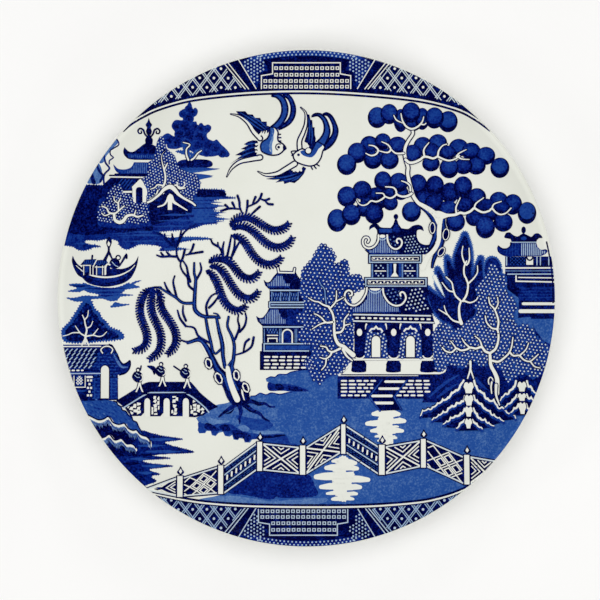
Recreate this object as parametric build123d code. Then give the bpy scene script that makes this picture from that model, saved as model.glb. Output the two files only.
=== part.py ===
"""A rimless (coupe) china dinner plate with a scenic transfer print over its whole face.

The plate is one fired body with a turned foot ring. A glaze skin covers everything but the
wiped bottom of the foot ring, and three thin printed films lie on the face: the scene, and
the border segments above and below it. Millimetres, +Z up, origin at the centre of the
foot ring's resting plane; +Y is the top of the printed scene.
"""

from build123d import *
from math import acos, atan2, cos, pi, sin, sqrt
import os

# Driving dimensions
PLATE_R = 133.5  # outer radius of the glazed rim
PLATE_H = 22.0  # height of the rim above the table
WELL_R = 80.0  # radius of the flat well
FOOT_R = 76.0  # outer radius of the foot ring
FOOT_W = 4.0  # width of the foot ring
FOOT_H = 3.0  # height of the foot ring below the base
BASE_T = 4.2  # thickness of the body under the well
RIM_T = 3.2  # thickness of the body at the rim
GLAZE_T = 0.25  # glaze skin
PRINT_T = 0.10  # printed film on the face
PRINT_R = 132.9  # the print stops here, on the crown of the lip
FOOT_BARE_H = 1.0  # height of the unglazed band at the bottom of the foot ring
TIP_EASE = 0.8  # radius on the resting edges of the foot ring
BORDER_Y = 109.6  # where each border segment begins on the plate's centre line
BORDER_END = (94.0, 94.5)  # where the border's inner edge meets the rim

# Worked out from the driving dimensions, for the bare body inside its glaze
BASE_Z = FOOT_H  # underside of the base, inside the foot ring
WELL_Z = BASE_Z + BASE_T  # top of the body in the well
FOOT_IN_R = FOOT_R - FOOT_W
LIP_R = RIM_T / 2  # radius of the rounded lip
LIP = (PLATE_R - GLAZE_T - LIP_R, PLATE_H - PRINT_T - GLAZE_T - LIP_R)  # its centre
RUN, RISE = LIP[0] - WELL_R, LIP[1] - WELL_Z

# The face curve: an arc that leaves the flat well level and runs smoothly into the lip
FACE_R = (RUN**2 + RISE**2 - LIP_R**2) / (2 * (RISE + LIP_R))
FACE = (WELL_R, WELL_Z + FACE_R)  # its centre
TILT = atan2(RUN, FACE[1] - LIP[1])  # slope of the face where it meets the lip
FACE_START, FACE_END = -pi / 2, TILT - pi / 2

# The underside: an arc from the far side of the lip to the top of the foot ring
UNDER_START = (LIP[0] + LIP_R * sin(TILT), LIP[1] - LIP_R * cos(TILT))
STEP_X, STEP_Z = UNDER_START[0] - FOOT_R, UNDER_START[1] - BASE_Z
UNDER_R = (STEP_X**2 + STEP_Z**2) / (2 * (STEP_X * sin(TILT) - STEP_Z * cos(TILT)))
UNDER = (UNDER_START[0] - UNDER_R * sin(TILT), UNDER_START[1] + UNDER_R * cos(TILT))

# The border's inner edge is one large arc
BORDER_SAG = BORDER_Y - BORDER_END[1]
BORDER_ARC_R = (BORDER_END[0] ** 2 + BORDER_SAG**2) / (2 * BORDER_SAG)


def arc(centre, radius, start, end):
    """An arc in the half section, between two angles from the outward direction."""
    angles = (start, (start + end) / 2, end)
    points = [(centre[0] + radius * cos(a), centre[1] + radius * sin(a)) for a in angles]
    return ThreePointArc(*points)


def face_curve(grow, lip_end):
    """The face grown out of the body by a distance: well, rise, and lip to an angle."""
    well = Line((0, WELL_Z + grow), (WELL_R, WELL_Z + grow))
    rise = arc(FACE, FACE_R - grow, FACE_START, FACE_END)
    lip = arc(LIP, LIP_R + grow, TILT + pi / 2, lip_end)
    return [well, rise, lip]


def under_curve(grow):
    """The underside grown out of the body: lip from its middle, and belly to the foot ring."""
    wall_r = FOOT_R + grow
    wall_z = UNDER[1] - sqrt((UNDER_R + grow) ** 2 - (wall_r - UNDER[0]) ** 2)
    lip = arc(LIP, LIP_R + grow, TILT, FACE_END)
    belly = arc(UNDER, UNDER_R + grow, FACE_END, atan2(wall_z - UNDER[1], wall_r - UNDER[0]))
    return [lip, belly]


def spin(edges):
    """The solid that a closed half section sweeps about the plate's axis."""
    return revolve(Plane.XZ * make_face(edges), axis=Axis.Z)


def spin_between(inner, outer):
    """The skin between two chains of edges that run the same way."""
    start = Line(inner[0] @ 0, outer[0] @ 0)
    end = Line(inner[-1] @ 1, outer[-1] @ 1)
    return spin([*inner, *outer, start, end])


def fired_body():
    """The bare body with its turned foot ring."""
    under = under_curve(0)
    foot = Polyline(under[-1] @ 1, (FOOT_R, 0), (FOOT_IN_R, 0), (FOOT_IN_R, BASE_Z), (0, BASE_Z))
    axis_line = Line((0, BASE_Z), (0, WELL_Z))
    body = spin([*face_curve(0, TILT), *under, foot, axis_line])
    resting_edges = body.edges().filter_by(GeomType.CIRCLE).group_by(Axis.Z)[0]
    return fillet(resting_edges, TIP_EASE)


def front_glaze():
    """The glaze over the face, to the middle of the lip."""
    return spin_between(face_curve(0, TILT), face_curve(GLAZE_T, TILT))


def back_glaze():
    """The glaze under the rim, from the middle of the lip to the foot ring's wiped band."""
    sides = []
    for grow in (0, GLAZE_T):
        under = under_curve(grow)
        wall = Line(under[-1] @ 1, (FOOT_R + grow, FOOT_BARE_H))
        sides.append([*under, wall])
    return spin_between(*sides)


def foot_well_glaze():
    """The glaze inside the foot ring: under the base, and down the ring's inner wall."""
    sides = []
    for grow in (0, GLAZE_T):
        ceiling, wall_r = BASE_Z - grow, FOOT_IN_R - grow
        sides.append([Polyline((0, ceiling), (wall_r, ceiling), (wall_r, FOOT_BARE_H))])
    return spin_between(*sides)


def printed_film():
    """The whole printed film on the glazed face, out to the crown of the lip."""
    sides = []
    for grow in (GLAZE_T, GLAZE_T + PRINT_T):
        lip_end = acos((PRINT_R - LIP[0]) / (LIP_R + grow))
        sides.append(face_curve(grow, lip_end))
    return spin_between(*sides)


def border_prism(side):
    """A prism over one border segment; side is 1 for the upper one and -1 for the lower."""
    end_y = side * (BORDER_Y - BORDER_ARC_R + sqrt(BORDER_ARC_R**2 - PLATE_R**2))
    inner_edge = ThreePointArc((-PLATE_R, end_y), (0, side * BORDER_Y), (PLATE_R, end_y))
    far_y = side * PLATE_R * 1.1
    outside = Polyline(inner_edge @ 1, (PLATE_R, far_y), (-PLATE_R, far_y), inner_edge @ 0)
    return extrude(make_face([inner_edge, outside]), 2 * PLATE_H, dir=(0, 0, 1))


def main():
    film = printed_film()
    upper, lower = border_prism(1), border_prism(-1)
    nodes = {
        "fired_body": fired_body(),
        "front_glaze": front_glaze(),
        "back_glaze": back_glaze(),
        "foot_well_glaze": foot_well_glaze(),
        "scene_print": film - upper - lower,
        "upper_border_print": film & upper,
        "lower_border_print": film & lower,
    }
    os.makedirs("parts", exist_ok=True)
    for name, shape in nodes.items():
        export_step(shape, f"parts/{name}.step")
        print(name, len(shape.solids()), round(shape.volume, 1), shape.bounding_box())


main()
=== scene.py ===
"""The looks of a rimless china plate: clear glaze, fired foot, and a blue scene printed on its face.

The print is drawn here as flat shapes in plate millimetres, seen from above, with the origin at
the plate's centre, x to the right and y up. Each motif is one piece: its shapes are laid on the
glaze in thin layers, and a depth of ink from 0 (bare glaze) to 1 (full cobalt) colours them.
"""

import bpy
import math
import random
import numpy as np
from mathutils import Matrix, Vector
from mathutils.geometry import delaunay_2d_cdt


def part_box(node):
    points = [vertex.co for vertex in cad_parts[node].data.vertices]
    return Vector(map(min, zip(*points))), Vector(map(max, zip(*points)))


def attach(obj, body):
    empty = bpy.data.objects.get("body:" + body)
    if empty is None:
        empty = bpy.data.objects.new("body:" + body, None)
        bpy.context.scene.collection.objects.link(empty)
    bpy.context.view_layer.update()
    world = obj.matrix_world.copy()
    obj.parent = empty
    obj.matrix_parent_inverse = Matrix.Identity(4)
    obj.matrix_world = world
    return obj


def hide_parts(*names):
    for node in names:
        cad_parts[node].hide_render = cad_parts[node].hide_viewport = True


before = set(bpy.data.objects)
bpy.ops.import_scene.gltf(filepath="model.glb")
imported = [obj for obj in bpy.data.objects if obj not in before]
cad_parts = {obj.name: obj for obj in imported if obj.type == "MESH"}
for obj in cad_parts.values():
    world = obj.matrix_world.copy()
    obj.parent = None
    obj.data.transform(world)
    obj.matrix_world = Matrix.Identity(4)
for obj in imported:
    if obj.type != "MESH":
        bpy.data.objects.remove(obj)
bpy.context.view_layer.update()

MM = 0.001

# The plate's profile, in millimetres, as in the CAD model
PLATE_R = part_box("back_glaze")[1][0] / MM
PLATE_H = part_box("scene_print")[1][2] / MM
PRINT_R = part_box("scene_print")[1][0] / MM
WELL_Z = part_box("front_glaze")[0][2] / MM
GLAZE_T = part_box("scene_print")[0][2] / MM - WELL_Z
PRINT_T = 0.10
WELL_R = 80.0
LIP_R = 1.6
FOOT_R = 76.0
FOOT_BARE_H = 1.0
BASE_Z = 3.0
LIP = (PLATE_R - GLAZE_T - LIP_R, PLATE_H - PRINT_T - GLAZE_T - LIP_R)
RUN, RISE = LIP[0] - WELL_R, LIP[1] - WELL_Z
FACE_R = (RUN**2 + RISE**2 - LIP_R**2) / (2 * (RISE + LIP_R))
FACE_Z = WELL_Z + FACE_R
TILT = math.atan2(RUN, FACE_Z - LIP[1])

# Ink depths
BARE, PALE, SKY, WASH, BLUE, COBALT, NAVY = 0.0, 0.15, 0.32, 0.48, 0.66, 0.83, 1.0
LAYER_STEP = 0.02  # height of one printed layer
LONGEST_EDGE = 2.5  # of a triangle on the curved part of the face
DISC_RING = 1.6  # width of the rings of triangles in a disc
TURNING_STEPS = 540  # round the rim, for the glaze and the print alike
LIP_BENDS = 8  # steps in which a printed shape follows the lip
INK_SPREAD = 0.2  # how much a dark stroke widens in the kiln
CERAMIC_IOR = 1.5


# ---- The face as a surface -------------------------------------------------------------------

def face_height(r, grow):
    """Height of the surface a distance outside the bare body, over radii r."""
    r = np.asarray(r, float)
    lip_start = LIP[0] - (LIP_R + grow) * math.sin(TILT)
    rise = FACE_Z - np.sqrt(np.maximum((FACE_R - grow) ** 2 - np.maximum(r - WELL_R, 0) ** 2, 0))
    lip = LIP[1] + np.sqrt(np.maximum((LIP_R + grow) ** 2 - (r - LIP[0]) ** 2, 0))
    return np.where(r < lip_start, rise, lip)


def face_normals(xy):
    """Unit normals of the face over the given places."""
    r = np.hypot(*xy.T)
    slope = np.clip((face_height(r + 0.01, GLAZE_T) - face_height(r - 0.01, GLAZE_T)) / 0.02, -4, 4)
    normals = np.column_stack([-slope * xy[:, 0] / np.maximum(r, 1), -slope * xy[:, 1] / np.maximum(r, 1),
                               np.ones(len(r))])
    return normals / np.linalg.norm(normals, axis=1)[:, None]


# ---- Outlines --------------------------------------------------------------------------------

def curve(points, closed=False, step=0.7):
    """A smooth curve through a few points."""
    p = np.array(points, float)
    if closed:
        p = np.vstack([p[-1:], p, p[:2]])
    else:
        p = np.vstack([2 * p[0] - p[1], p, 2 * p[-1] - p[-2]])
    parts = []
    for a, b, c, d in zip(p, p[1:], p[2:], p[3:]):
        count = max(2, math.ceil(np.hypot(*(c - b)) / step))
        t = np.arange(count)[:, None] / count
        parts.append(0.5 * (2 * b + (c - a) * t + (2 * a - 5 * b + 4 * c - d) * t**2
                            + (3 * b - a - 3 * c + d) * t**3))
    if not closed:
        parts.append(p[-2:-1])
    return np.vstack(parts)


def blob(points):
    """A smooth closed outline."""
    return curve(points, closed=True)


def arc(x, y, rx, start=0, end=360, ry=None, step=0.7):
    """Points on a circle or an upright ellipse, between two angles in degrees."""
    ry = ry or rx
    count = max(5, math.ceil(abs(end - start) / 360 * 6.3 * max(rx, ry) / step))
    a = np.radians(np.linspace(start, end, count + 1))
    if abs(end - start) >= 360:
        a = a[:-1]
    return np.column_stack([x + rx * np.cos(a), y + ry * np.sin(a)])


def box(x0, y0, x1, y1):
    return np.array([(x0, y0), (x1, y0), (x1, y1), (x0, y1)], float)


def mirror(points, x=0.0):
    """The same outline with left and right exchanged about a vertical line."""
    return np.array(points, float)[::-1] * (-1, 1) + (2 * x, 0)


def move(points, dx, dy, scale=1.0, turn=0.0):
    """Points scaled and turned about the origin, then moved."""
    c, s = math.cos(math.radians(turn)) * scale, math.sin(math.radians(turn)) * scale
    return np.array(points, float) @ np.array([(c, s), (-s, c)]) + (dx, dy)


def resample(path, step):
    """Evenly spaced points along a path, and the unit direction at each."""
    path = np.asarray(path, float)
    lengths = np.concatenate([[0], np.cumsum(np.hypot(*np.diff(path, axis=0).T))])
    count = max(2, round(lengths[-1] / step) + 1)
    at = np.linspace(0, lengths[-1], count)
    points = np.column_stack([np.interp(at, lengths, path[:, i]) for i in (0, 1)])
    along = np.gradient(points, axis=0)
    return points, along / np.maximum(np.hypot(*along.T), 1e-9)[:, None]


def ragged(outline, depth, pitch, seed):
    """A closed outline with an uneven, toothed edge."""
    rng = random.Random(seed)
    points, along = resample(np.vstack([outline, outline[:1]]), pitch / 2)
    out = np.column_stack([along[:, 1], -along[:, 0]])
    push = [depth * rng.uniform(0.3, 1.0) * (1 if i % 2 else -0.4) for i in range(len(points))]
    return (points + out * np.array(push)[:, None])[:-1]


def ribbon(path, width, closed=False):
    """The outline of a stroke; a list of widths runs from its start to its end."""
    p = np.asarray(path, float)
    if closed:
        p = np.vstack([p, p[:1]])
    step = np.diff(p, axis=0)
    run = np.concatenate([[0], np.cumsum(np.hypot(*step.T))])
    step = step / np.maximum(np.hypot(*step.T), 1e-9)[:, None]
    before, after = np.vstack([step[:1], step]), np.vstack([step, step[-1:]])
    if closed:
        before[0], after[-1] = step[-1], step[0]
    tangent = before + after
    tangent = tangent / np.maximum(np.hypot(*tangent.T), 1e-9)[:, None]
    mitre = 1 / np.maximum((tangent * after).sum(axis=1), 0.6)
    widths = np.interp(run / run[-1], np.linspace(0, 1, len(np.atleast_1d(width))), np.atleast_1d(width))
    side = np.column_stack([-tangent[:, 1], tangent[:, 0]]) * (mitre * widths / 2)[:, None]
    left, right = p + side, p - side
    if closed:
        return [left[:-1], right[:-1][::-1]]
    caps = []
    for end, direction, w in ((-1, step[-1], widths[-1]), (0, -step[0], widths[0])):
        angle = math.degrees(math.atan2(direction[1], direction[0]))
        cap = arc(*p[end], w / 2, angle + 60, angle - 60, step=w / 2 + 0.01)
        caps.append(cap if w > 0.25 else p[end:][:1] + direction * w / 2)
    return [np.vstack([left, caps[0], right[::-1], caps[1]])]


def winding(points, loops):
    """How many times the loops go round each point."""
    total = np.zeros(len(points), int)
    x, y = points[:, :1], points[:, 1:2]
    for loop in loops:
        ax, ay = loop.T
        bx, by = np.roll(loop, -1, axis=0).T
        side = (bx - ax) * (y - ay) - (x - ax) * (by - ay)
        total += ((ay <= y) & (by > y) & (side > 0)).sum(axis=1)
        total -= ((ay > y) & (by <= y) & (side < 0)).sum(axis=1)
    return total


def inside(points, loop, margin=0.0):
    """Which points lie in an outline, and at least a margin from its edge."""
    points = np.asarray(points, float).reshape(-1, 2)
    hit = winding(points, [loop]) != 0
    if margin and hit.any():
        edge, _ = resample(np.vstack([loop, loop[:1]]), 0.5)
        gap = np.hypot(points[:, None, 0] - edge[None, :, 0], points[:, None, 1] - edge[None, :, 1])
        hit &= gap.min(axis=1) >= margin
    return hit


def lattice(outline, pitch, turn=0.0, jitter=0.0, seed=1, margin=0.0, aspect=0.87):
    """Staggered points that fill an outline."""
    rng = random.Random(seed)
    low, high = outline.min(axis=0), outline.max(axis=0)
    centre, reach = (low + high) / 2, np.hypot(*(high - low)) / 2 + pitch
    count = int(reach / pitch) + 2
    points = [((i + 0.5 * (j % 2)) * pitch + rng.uniform(-jitter, jitter),
               j * pitch * aspect + rng.uniform(-jitter, jitter))
              for j in range(-count - 2, count + 3) for i in range(-count - 1, count + 2)]
    points = move(points, *centre, turn=turn)
    return points[inside(points, outline, margin)]


# ---- Printed shapes --------------------------------------------------------------------------

def divided(loop):
    """The same loop with its long edges divided, if it reaches the curved part of the face."""
    if np.hypot(*loop.T).max() < WELL_R:
        return loop
    parts = []
    for a, b in zip(loop, np.roll(loop, -1, axis=0)):
        count = math.ceil(np.hypot(*(b - a)) / LONGEST_EDGE)
        parts.append(a + (b - a) * np.arange(max(count, 1))[:, None] / max(count, 1))
    return np.vstack(parts)


def curved_part_points(loops):
    """Points that let a wide shape follow the curved part of the face."""
    low, high = np.vstack(loops).min(axis=0), np.vstack(loops).max(axis=0)
    if np.hypot(*np.maximum(np.abs(low), np.abs(high))) < WELL_R or (high - low).min() < LONGEST_EDGE:
        return []
    xs, ys = (np.arange(low[i] + 1, high[i], LONGEST_EDGE * 0.8) for i in (0, 1))
    grid = np.array([(x, y) for x in xs for y in ys]).reshape(-1, 2)
    radii = np.hypot(*grid.T)
    grid = grid[(radii > WELL_R - 2) & (radii < PRINT_R - 1)]
    return list(grid[winding(grid, loops) != 0]) if len(grid) else []


def lip_radii():
    """Radii at which a printed shape bends to follow the lip, out to the edge of the print."""
    angles = np.linspace(-TILT, math.asin((PRINT_R - LIP[0]) / (LIP_R + GLAZE_T)), LIP_BENDS + 1)
    return LIP[0] + (LIP_R + GLAZE_T) * np.sin(angles)


def rim_arc(r, low, high):
    """The part of a circle about the plate's axis near a box, with the turned glaze's corners."""
    a = np.arange(TURNING_STEPS) * 2 * math.pi / TURNING_STEPS
    ring = np.column_stack([r * np.cos(a), r * np.sin(a)])
    near = ((ring > low - 2.5) & (ring < high + 2.5)).all(axis=1)
    index = np.cumsum(near) - 1
    pairs = np.column_stack([index, np.roll(index, -1)])[near & np.roll(near, -1)]
    return ring[near], pairs


def triangulate(loops, within=None):
    """Triangles that fill the loops, cut to a second outline and to the printed disc."""
    loops = [divided(loop) for loop in loops]
    corners = np.vstack(loops)
    low, high, reach = corners.min(axis=0), corners.max(axis=0), np.hypot(*corners.T).max()
    points, edges = [], []
    for loop in loops + ([within] if within is not None else []):
        start, count = len(points), len(loop)
        points += [Vector(p) for p in loop]
        edges += [(start + i, start + (i + 1) % count) for i in range(count)]
    for r in lip_radii():
        if r < reach:
            ring, pairs = rim_arc(r, low, high)
            edges += [(len(points) + int(i), len(points) + int(j)) for i, j in pairs]
            points += [Vector(p) for p in ring]
    points += [Vector(p) for p in curved_part_points(loops)]
    result = delaunay_2d_cdt(points, edges, [], 0, 1e-4, False)
    flat, faces = np.array([tuple(p) for p in result[0]]), np.array(result[2])
    centres = flat[faces].mean(axis=1)
    keep = (winding(centres, loops) != 0) & (np.hypot(*centres.T) < PRINT_R)
    if within is not None:
        keep &= winding(centres, [within]) != 0
    used, faces = np.unique(faces[keep], return_inverse=True)
    return flat[used], faces.reshape(-1, 3)


class Motif:
    """The printed shapes of one motif, laid on the glaze in layers."""

    def __init__(self, name, base=0):
        self.name, self.base = name, base
        self.points, self.tones, self.faces = [], [], []
        self.count = self.shapes = 0

    def add(self, points, faces, tone, layer):
        """Takes in flat triangles; shapes of one layer differ a little in height."""
        if not len(faces):
            return
        height = (self.base + layer + 0.8 * (self.shapes % 12) / 12) * LAYER_STEP
        self.points.append(np.column_stack([points, np.full(len(points), height)]))
        self.tones.append(np.broadcast_to(np.asarray(tone, float), (len(points),)))
        self.faces.append(np.asarray(faces) + self.count)
        self.count += len(points)
        self.shapes += 1

    def fill(self, outline, tone, layer=0, within=None):
        """Fills one outline, or several as nested loops."""
        loops = [np.asarray(l, float) for l in (outline if isinstance(outline, list) else [outline])]
        points, faces = triangulate(loops, within)
        self.add(points, faces, tone, layer)

    def line(self, path, width, tone=NAVY, layer=1, closed=False):
        """A stroke along a path."""
        spread = INK_SPREAD if tone > COBALT else 0
        self.fill(ribbon(path, np.atleast_1d(width) + spread, closed), tone, layer)

    def patch(self, points, tone, layer=0, within=None):
        """A smooth closed shape through a few points."""
        self.fill(blob(points), tone, layer, within)

    def stroke(self, path, width, tone=NAVY, layer=1):
        """A smooth stroke through a few points."""
        self.line(curve(path), width, tone, layer)

    def lines(self, paths, width, tone, layer):
        """Smooth strokes of one width."""
        for path in paths:
            self.stroke(path, width, tone, layer)

    def strokes(self, strokes, tone, layer):
        """Smooth strokes, each given as its points and its width."""
        for path, width in strokes:
            self.stroke(path, width, tone, layer)

    def streaks(self, rows, widths, tone, layer, rise=0, lift=0):
        """Level streaks, each given as its height and ends, raised in the middle and at the far end."""
        for y, x0, x1 in rows:
            self.line([(x0, y), ((x0 + x1) / 2, y + rise), (x1, y + lift)], widths, tone, layer)

    def vein(self, path, width, edge=0.5, tone=BARE, layer=1):
        """A pale stroke between two dark edges."""
        wide = np.atleast_1d(width) + 2 * edge
        self.line(path, wide, NAVY, layer)
        self.line(path, width, tone, layer + 1)

    def veins(self, strokes, edge, layer):
        """Smooth veins, each given as its points and its width."""
        for path, width in strokes:
            self.vein(curve(path), width, edge, layer=layer)

    def dot(self, x, y, r, tone=BARE, layer=2, ry=None, edge_tone=None):
        """A filled disc, with its own tone at the edge if it is given."""
        edge = arc(x, y, r, ry=ry, step=max(0.35, min(r / 3, 1.0)))
        if np.hypot(*edge.T).max() > lip_radii()[0]:
            if math.hypot(x, y) < PRINT_R:
                self.fill(edge, tone, layer)
            return
        count, centre = len(edge), np.array([x, y], float)
        rings = max(1, round(r / DISC_RING))
        shares = np.arange(rings, 0, -1) / rings
        points = np.vstack([centre + (edge - centre) * share for share in shares] + [centre])
        faces = []
        for k in range(rings):
            for i in range(count):
                a, b = k * count + i, k * count + (i + 1) % count
                if k + 1 < rings:
                    faces += [(a, b, b + count), (a, b + count, a + count)]
                else:
                    faces.append((a, b, len(points) - 1))
        fade = np.append(np.repeat(shares, count), 0) ** 2
        tones = tone + ((tone if edge_tone is None else edge_tone) - tone) * fade
        self.add(points, faces, tones, layer)

    def dots(self, places, r, tone=BARE, layer=2):
        for x, y in places:
            self.dot(x, y, r, tone, layer)

    def hatch(self, outline, pitch, width, turn, tone, layer, wobble=0.0):
        """Parallel strokes across an outline; turn 0 makes them level."""
        rng = random.Random(1)
        low, high = outline.min(axis=0), outline.max(axis=0)
        centre, reach = (low + high) / 2, np.hypot(*(high - low)) / 2
        y = -reach
        while y < reach:
            shift = rng.uniform(-wobble, wobble)
            path = move([(-reach, y + shift), (reach, y - shift)], *centre, turn=turn)
            path, _ = resample(path, 1.0)
            for run in runs_inside(path, outline):
                self.line(run, width * rng.uniform(1 - 2 * wobble, 1), tone, layer)
            y += pitch

    def crosshatch(self, outline, pitch, width, tone):
        """Two crossed rows of parallel strokes."""
        for turn, layer in ((45, 2), (-45, 3)):
            self.hatch(outline, pitch, width, turn, tone, layer)

    def dashes(self, start, end, dash, gap, width, tone=BARE, layer=2, seed=1):
        """A row of short strokes."""
        rng = random.Random(seed)
        start, end = np.array(start, float), np.array(end, float)
        length = np.hypot(*(end - start))
        along, at = (end - start) / length, 0.0
        while at < length - width - 0.4:
            stop = min(at + dash * rng.uniform(0.85, 1.15), length)
            ends = [start + along * (at + width / 2), start + along * (max(stop - width / 2, at + width))]
            self.line(ends, width, tone, layer)
            at = stop + gap

    def stipple(self, outline, pitch, tone, layer=1, length=1.6, width=0.8, turn=0.0, seed=1):
        """Short tapered touches of the graver all over an outline."""
        for x, y in lattice(outline, pitch, turn + 15, jitter=pitch * 0.3, seed=seed, margin=0.4):
            touch = move([(-length / 2, 0), (0, 0.1), (length / 2, 0)], x, y, turn=turn)
            self.line(touch, [width * 0.3, width, width * 0.3], tone, layer)

    def lace(self, outline, pitch=2.2, turn=55, ring=0.98, hole=0.44, ground=0.7, seed=3, layer=0):
        """Foliage of small dark rings around white dots."""
        self.fill(outline, ground, layer)
        places = lattice(outline, pitch, turn, jitter=pitch * 0.13, seed=seed)
        self.dots(places, ring, COBALT, layer + 1)
        self.dots(places, hole, 0.1, layer + 2)

    def build(self):
        """Lays the shapes on the glaze as one piece."""
        points, tones, faces = (np.concatenate(part) for part in (self.points, self.tones, self.faces))
        xy = points[:, :2]
        a, b, c = (xy[faces[:, i]] for i in range(3))
        area = (b - a)[:, 0] * (c - a)[:, 1] - (b - a)[:, 1] * (c - a)[:, 0]
        faces = np.where((area < 0)[:, None], faces[:, ::-1], faces)[np.abs(area) > 1e-7]
        z = face_height(np.hypot(*xy.T), GLAZE_T) + LAYER_STEP + points[:, 2]
        mesh = bpy.data.meshes.new(self.name)
        mesh.from_pydata((np.column_stack([xy, z]) * MM).tolist(), [], faces.tolist())
        mesh.attributes.new("ink", "FLOAT", "POINT").data.foreach_set("value", tones)
        mesh.shade_smooth()
        mesh.normals_split_custom_set_from_vertices(face_normals(xy).tolist())
        mesh.materials.append(printed_ink())
        piece = bpy.data.objects.new(self.name, mesh)
        bpy.context.scene.collection.objects.link(piece)
        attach(piece, "root")
        return piece


def runs_inside(path, outline):
    """The stretches of a path that lie in an outline."""
    hits, runs, current = inside(path, outline), [], []
    for point, hit in zip(path, hits):
        if hit:
            current.append(point)
        elif len(current) > 1:
            runs.append(np.array(current))
            current = []
        else:
            current = []
    if len(current) > 1:
        runs.append(np.array(current))
    return runs


# ---- Materials -------------------------------------------------------------------------------

def colour(r, g, b):
    """A colour given as screen values from 0 to 255."""
    values = [v / 255 for v in (r, g, b)]
    return [v / 12.92 if v < 0.04 else ((v + 0.055) / 1.055) ** 2.4 for v in values] + [1.0]


GLAZED_WHITE = colour(230, 232, 224)
INK_COLOURS = [
    (BARE, GLAZED_WHITE), (PALE, colour(166, 190, 214)), (SKY, colour(96, 131, 183)),
    (WASH, colour(38, 81, 156)), (BLUE, colour(21, 60, 144)), (COBALT, colour(3, 26, 116)),
    (NAVY, colour(0, 1, 52)),
]


class Nodes:
    """A material's node tree, built one node at a time."""

    def __init__(self, name, roughness):
        """Starts a plain surface of the given roughness."""
        self.material = bpy.data.materials.new(name)
        self.material.use_nodes = True
        self.tree = self.material.node_tree
        self.shader = self.tree.nodes["Principled BSDF"]
        self.shader.inputs["Roughness"].default_value = roughness
        self.shader.inputs["IOR"].default_value = CERAMIC_IOR

    def node(self, kind, inputs=(), **settings):
        """Adds a node; its inputs are values or other nodes' outputs."""
        node = self.tree.nodes.new("ShaderNode" + kind)
        for name, value in settings.items():
            setattr(node, name, value)
        for name, value in dict(inputs).items():
            self.feed(node.inputs[name], value)
        return node

    def feed(self, socket, value):
        if isinstance(value, bpy.types.NodeSocket):
            self.tree.links.new(value, socket)
        else:
            socket.default_value = value

    def maths(self, operation, a, b, clamp=False):
        return self.node("Math", {0: a, 1: b}, operation=operation, use_clamp=clamp).outputs[0]

    def noise(self, scale, detail=3.0, roughness=0.55):
        """Solid noise over the plate; the scale is in bumps per metre."""
        place = self.node("TexCoord").outputs["Object"]
        settings = {"Vector": place, "Scale": scale, "Detail": detail, "Roughness": roughness}
        return self.node("TexNoise", settings).outputs[0]

    def ramp(self, value, stops):
        """A colour looked up between stops, which are places and colours."""
        node = self.node("ValToRGB", {0: value})
        elements = node.color_ramp.elements
        while len(elements) < len(stops):
            elements.new(1.0)
        for element, (at, tint) in zip(elements, stops):
            element.position = at
            element.color = tint
        return node.outputs[0]

    def bump(self, height, strength, distance):
        node = self.node("Bump", {"Height": height, "Strength": strength, "Distance": distance})
        self.feed(self.shader.inputs["Normal"], node.outputs[0])

    def paint(self, value):
        self.feed(self.shader.inputs["Base Color"], value)


def printed_ink():
    """Cobalt ink under a glossy glaze, mottled as a transfer print is."""
    if "printed_ink" in bpy.data.materials:
        return bpy.data.materials["printed_ink"]
    n = Nodes("printed_ink", 0.12)
    ink = n.node("Attribute", attribute_name="ink").outputs["Fac"]
    cloud = n.maths("SUBTRACT", n.noise(210, 4, 0.6), 0.5)
    grain = n.maths("SUBTRACT", n.noise(900, 2, 0.7), 0.5)
    mottle = n.maths("ADD", n.maths("MULTIPLY", cloud, 0.45), n.maths("MULTIPLY", grain, 0.85))
    depth = n.maths("MULTIPLY", ink, n.maths("ADD", mottle, 1.0), clamp=True)
    n.paint(n.ramp(depth, INK_COLOURS))
    n.bump(n.noise(60, 2), 0.05, 0.0006)
    return n.material


def white_glaze():
    """Clear glaze over a cool cream body, with faint pinholes and pooling."""
    n = Nodes("white_glaze", 0.09)
    pooled = n.ramp(n.noise(22, 4, 0.5), [(0.3, colour(226, 228, 219)), (0.5, GLAZED_WHITE),
                                          (0.75, colour(233, 235, 228))])
    n.paint(pooled)
    n.bump(n.noise(70, 2), 0.06, 0.0006)
    return n.material


def fired_clay():
    """Bare biscuit clay on the wiped foot, sandy and a little stained."""
    n = Nodes("fired_clay", 0.8)
    speckle = n.ramp(n.noise(1400, 3, 0.7), [(0.25, colour(150, 128, 100)), (0.45, colour(216, 204, 182)),
                                             (0.8, colour(229, 220, 202))])
    n.paint(speckle)
    n.bump(n.noise(2600, 3, 0.7), 0.5, 0.0001)
    return n.material


def studio_floor():
    """A plain pale paper sweep."""
    n = Nodes("studio_floor", 0.9)
    n.paint(n.ramp(n.noise(9, 2), [(0.3, (0.93, 0.93, 0.93, 1)), (0.7, (0.95, 0.95, 0.95, 1))]))
    return n.material


# ---- The plate under its print ---------------------------------------------------------------

def arc_profile(centre, radius, start, end, count):
    a = np.linspace(start, end, count)
    return list(zip(centre[0] + radius * np.cos(a), centre[1] + radius * np.sin(a)))


def face_profile(grow):
    """Half section of the face at a distance outside the bare body, to the middle of the lip."""
    well = [(r, WELL_Z + grow) for r in np.linspace(0, WELL_R, 9)[:-1]]
    rise = arc_profile((WELL_R, FACE_Z), FACE_R - grow, -math.pi / 2, TILT - math.pi / 2, 44)
    lip = arc_profile(LIP, LIP_R + grow, TILT + math.pi / 2, TILT, 10)
    return well + rise + lip


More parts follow.
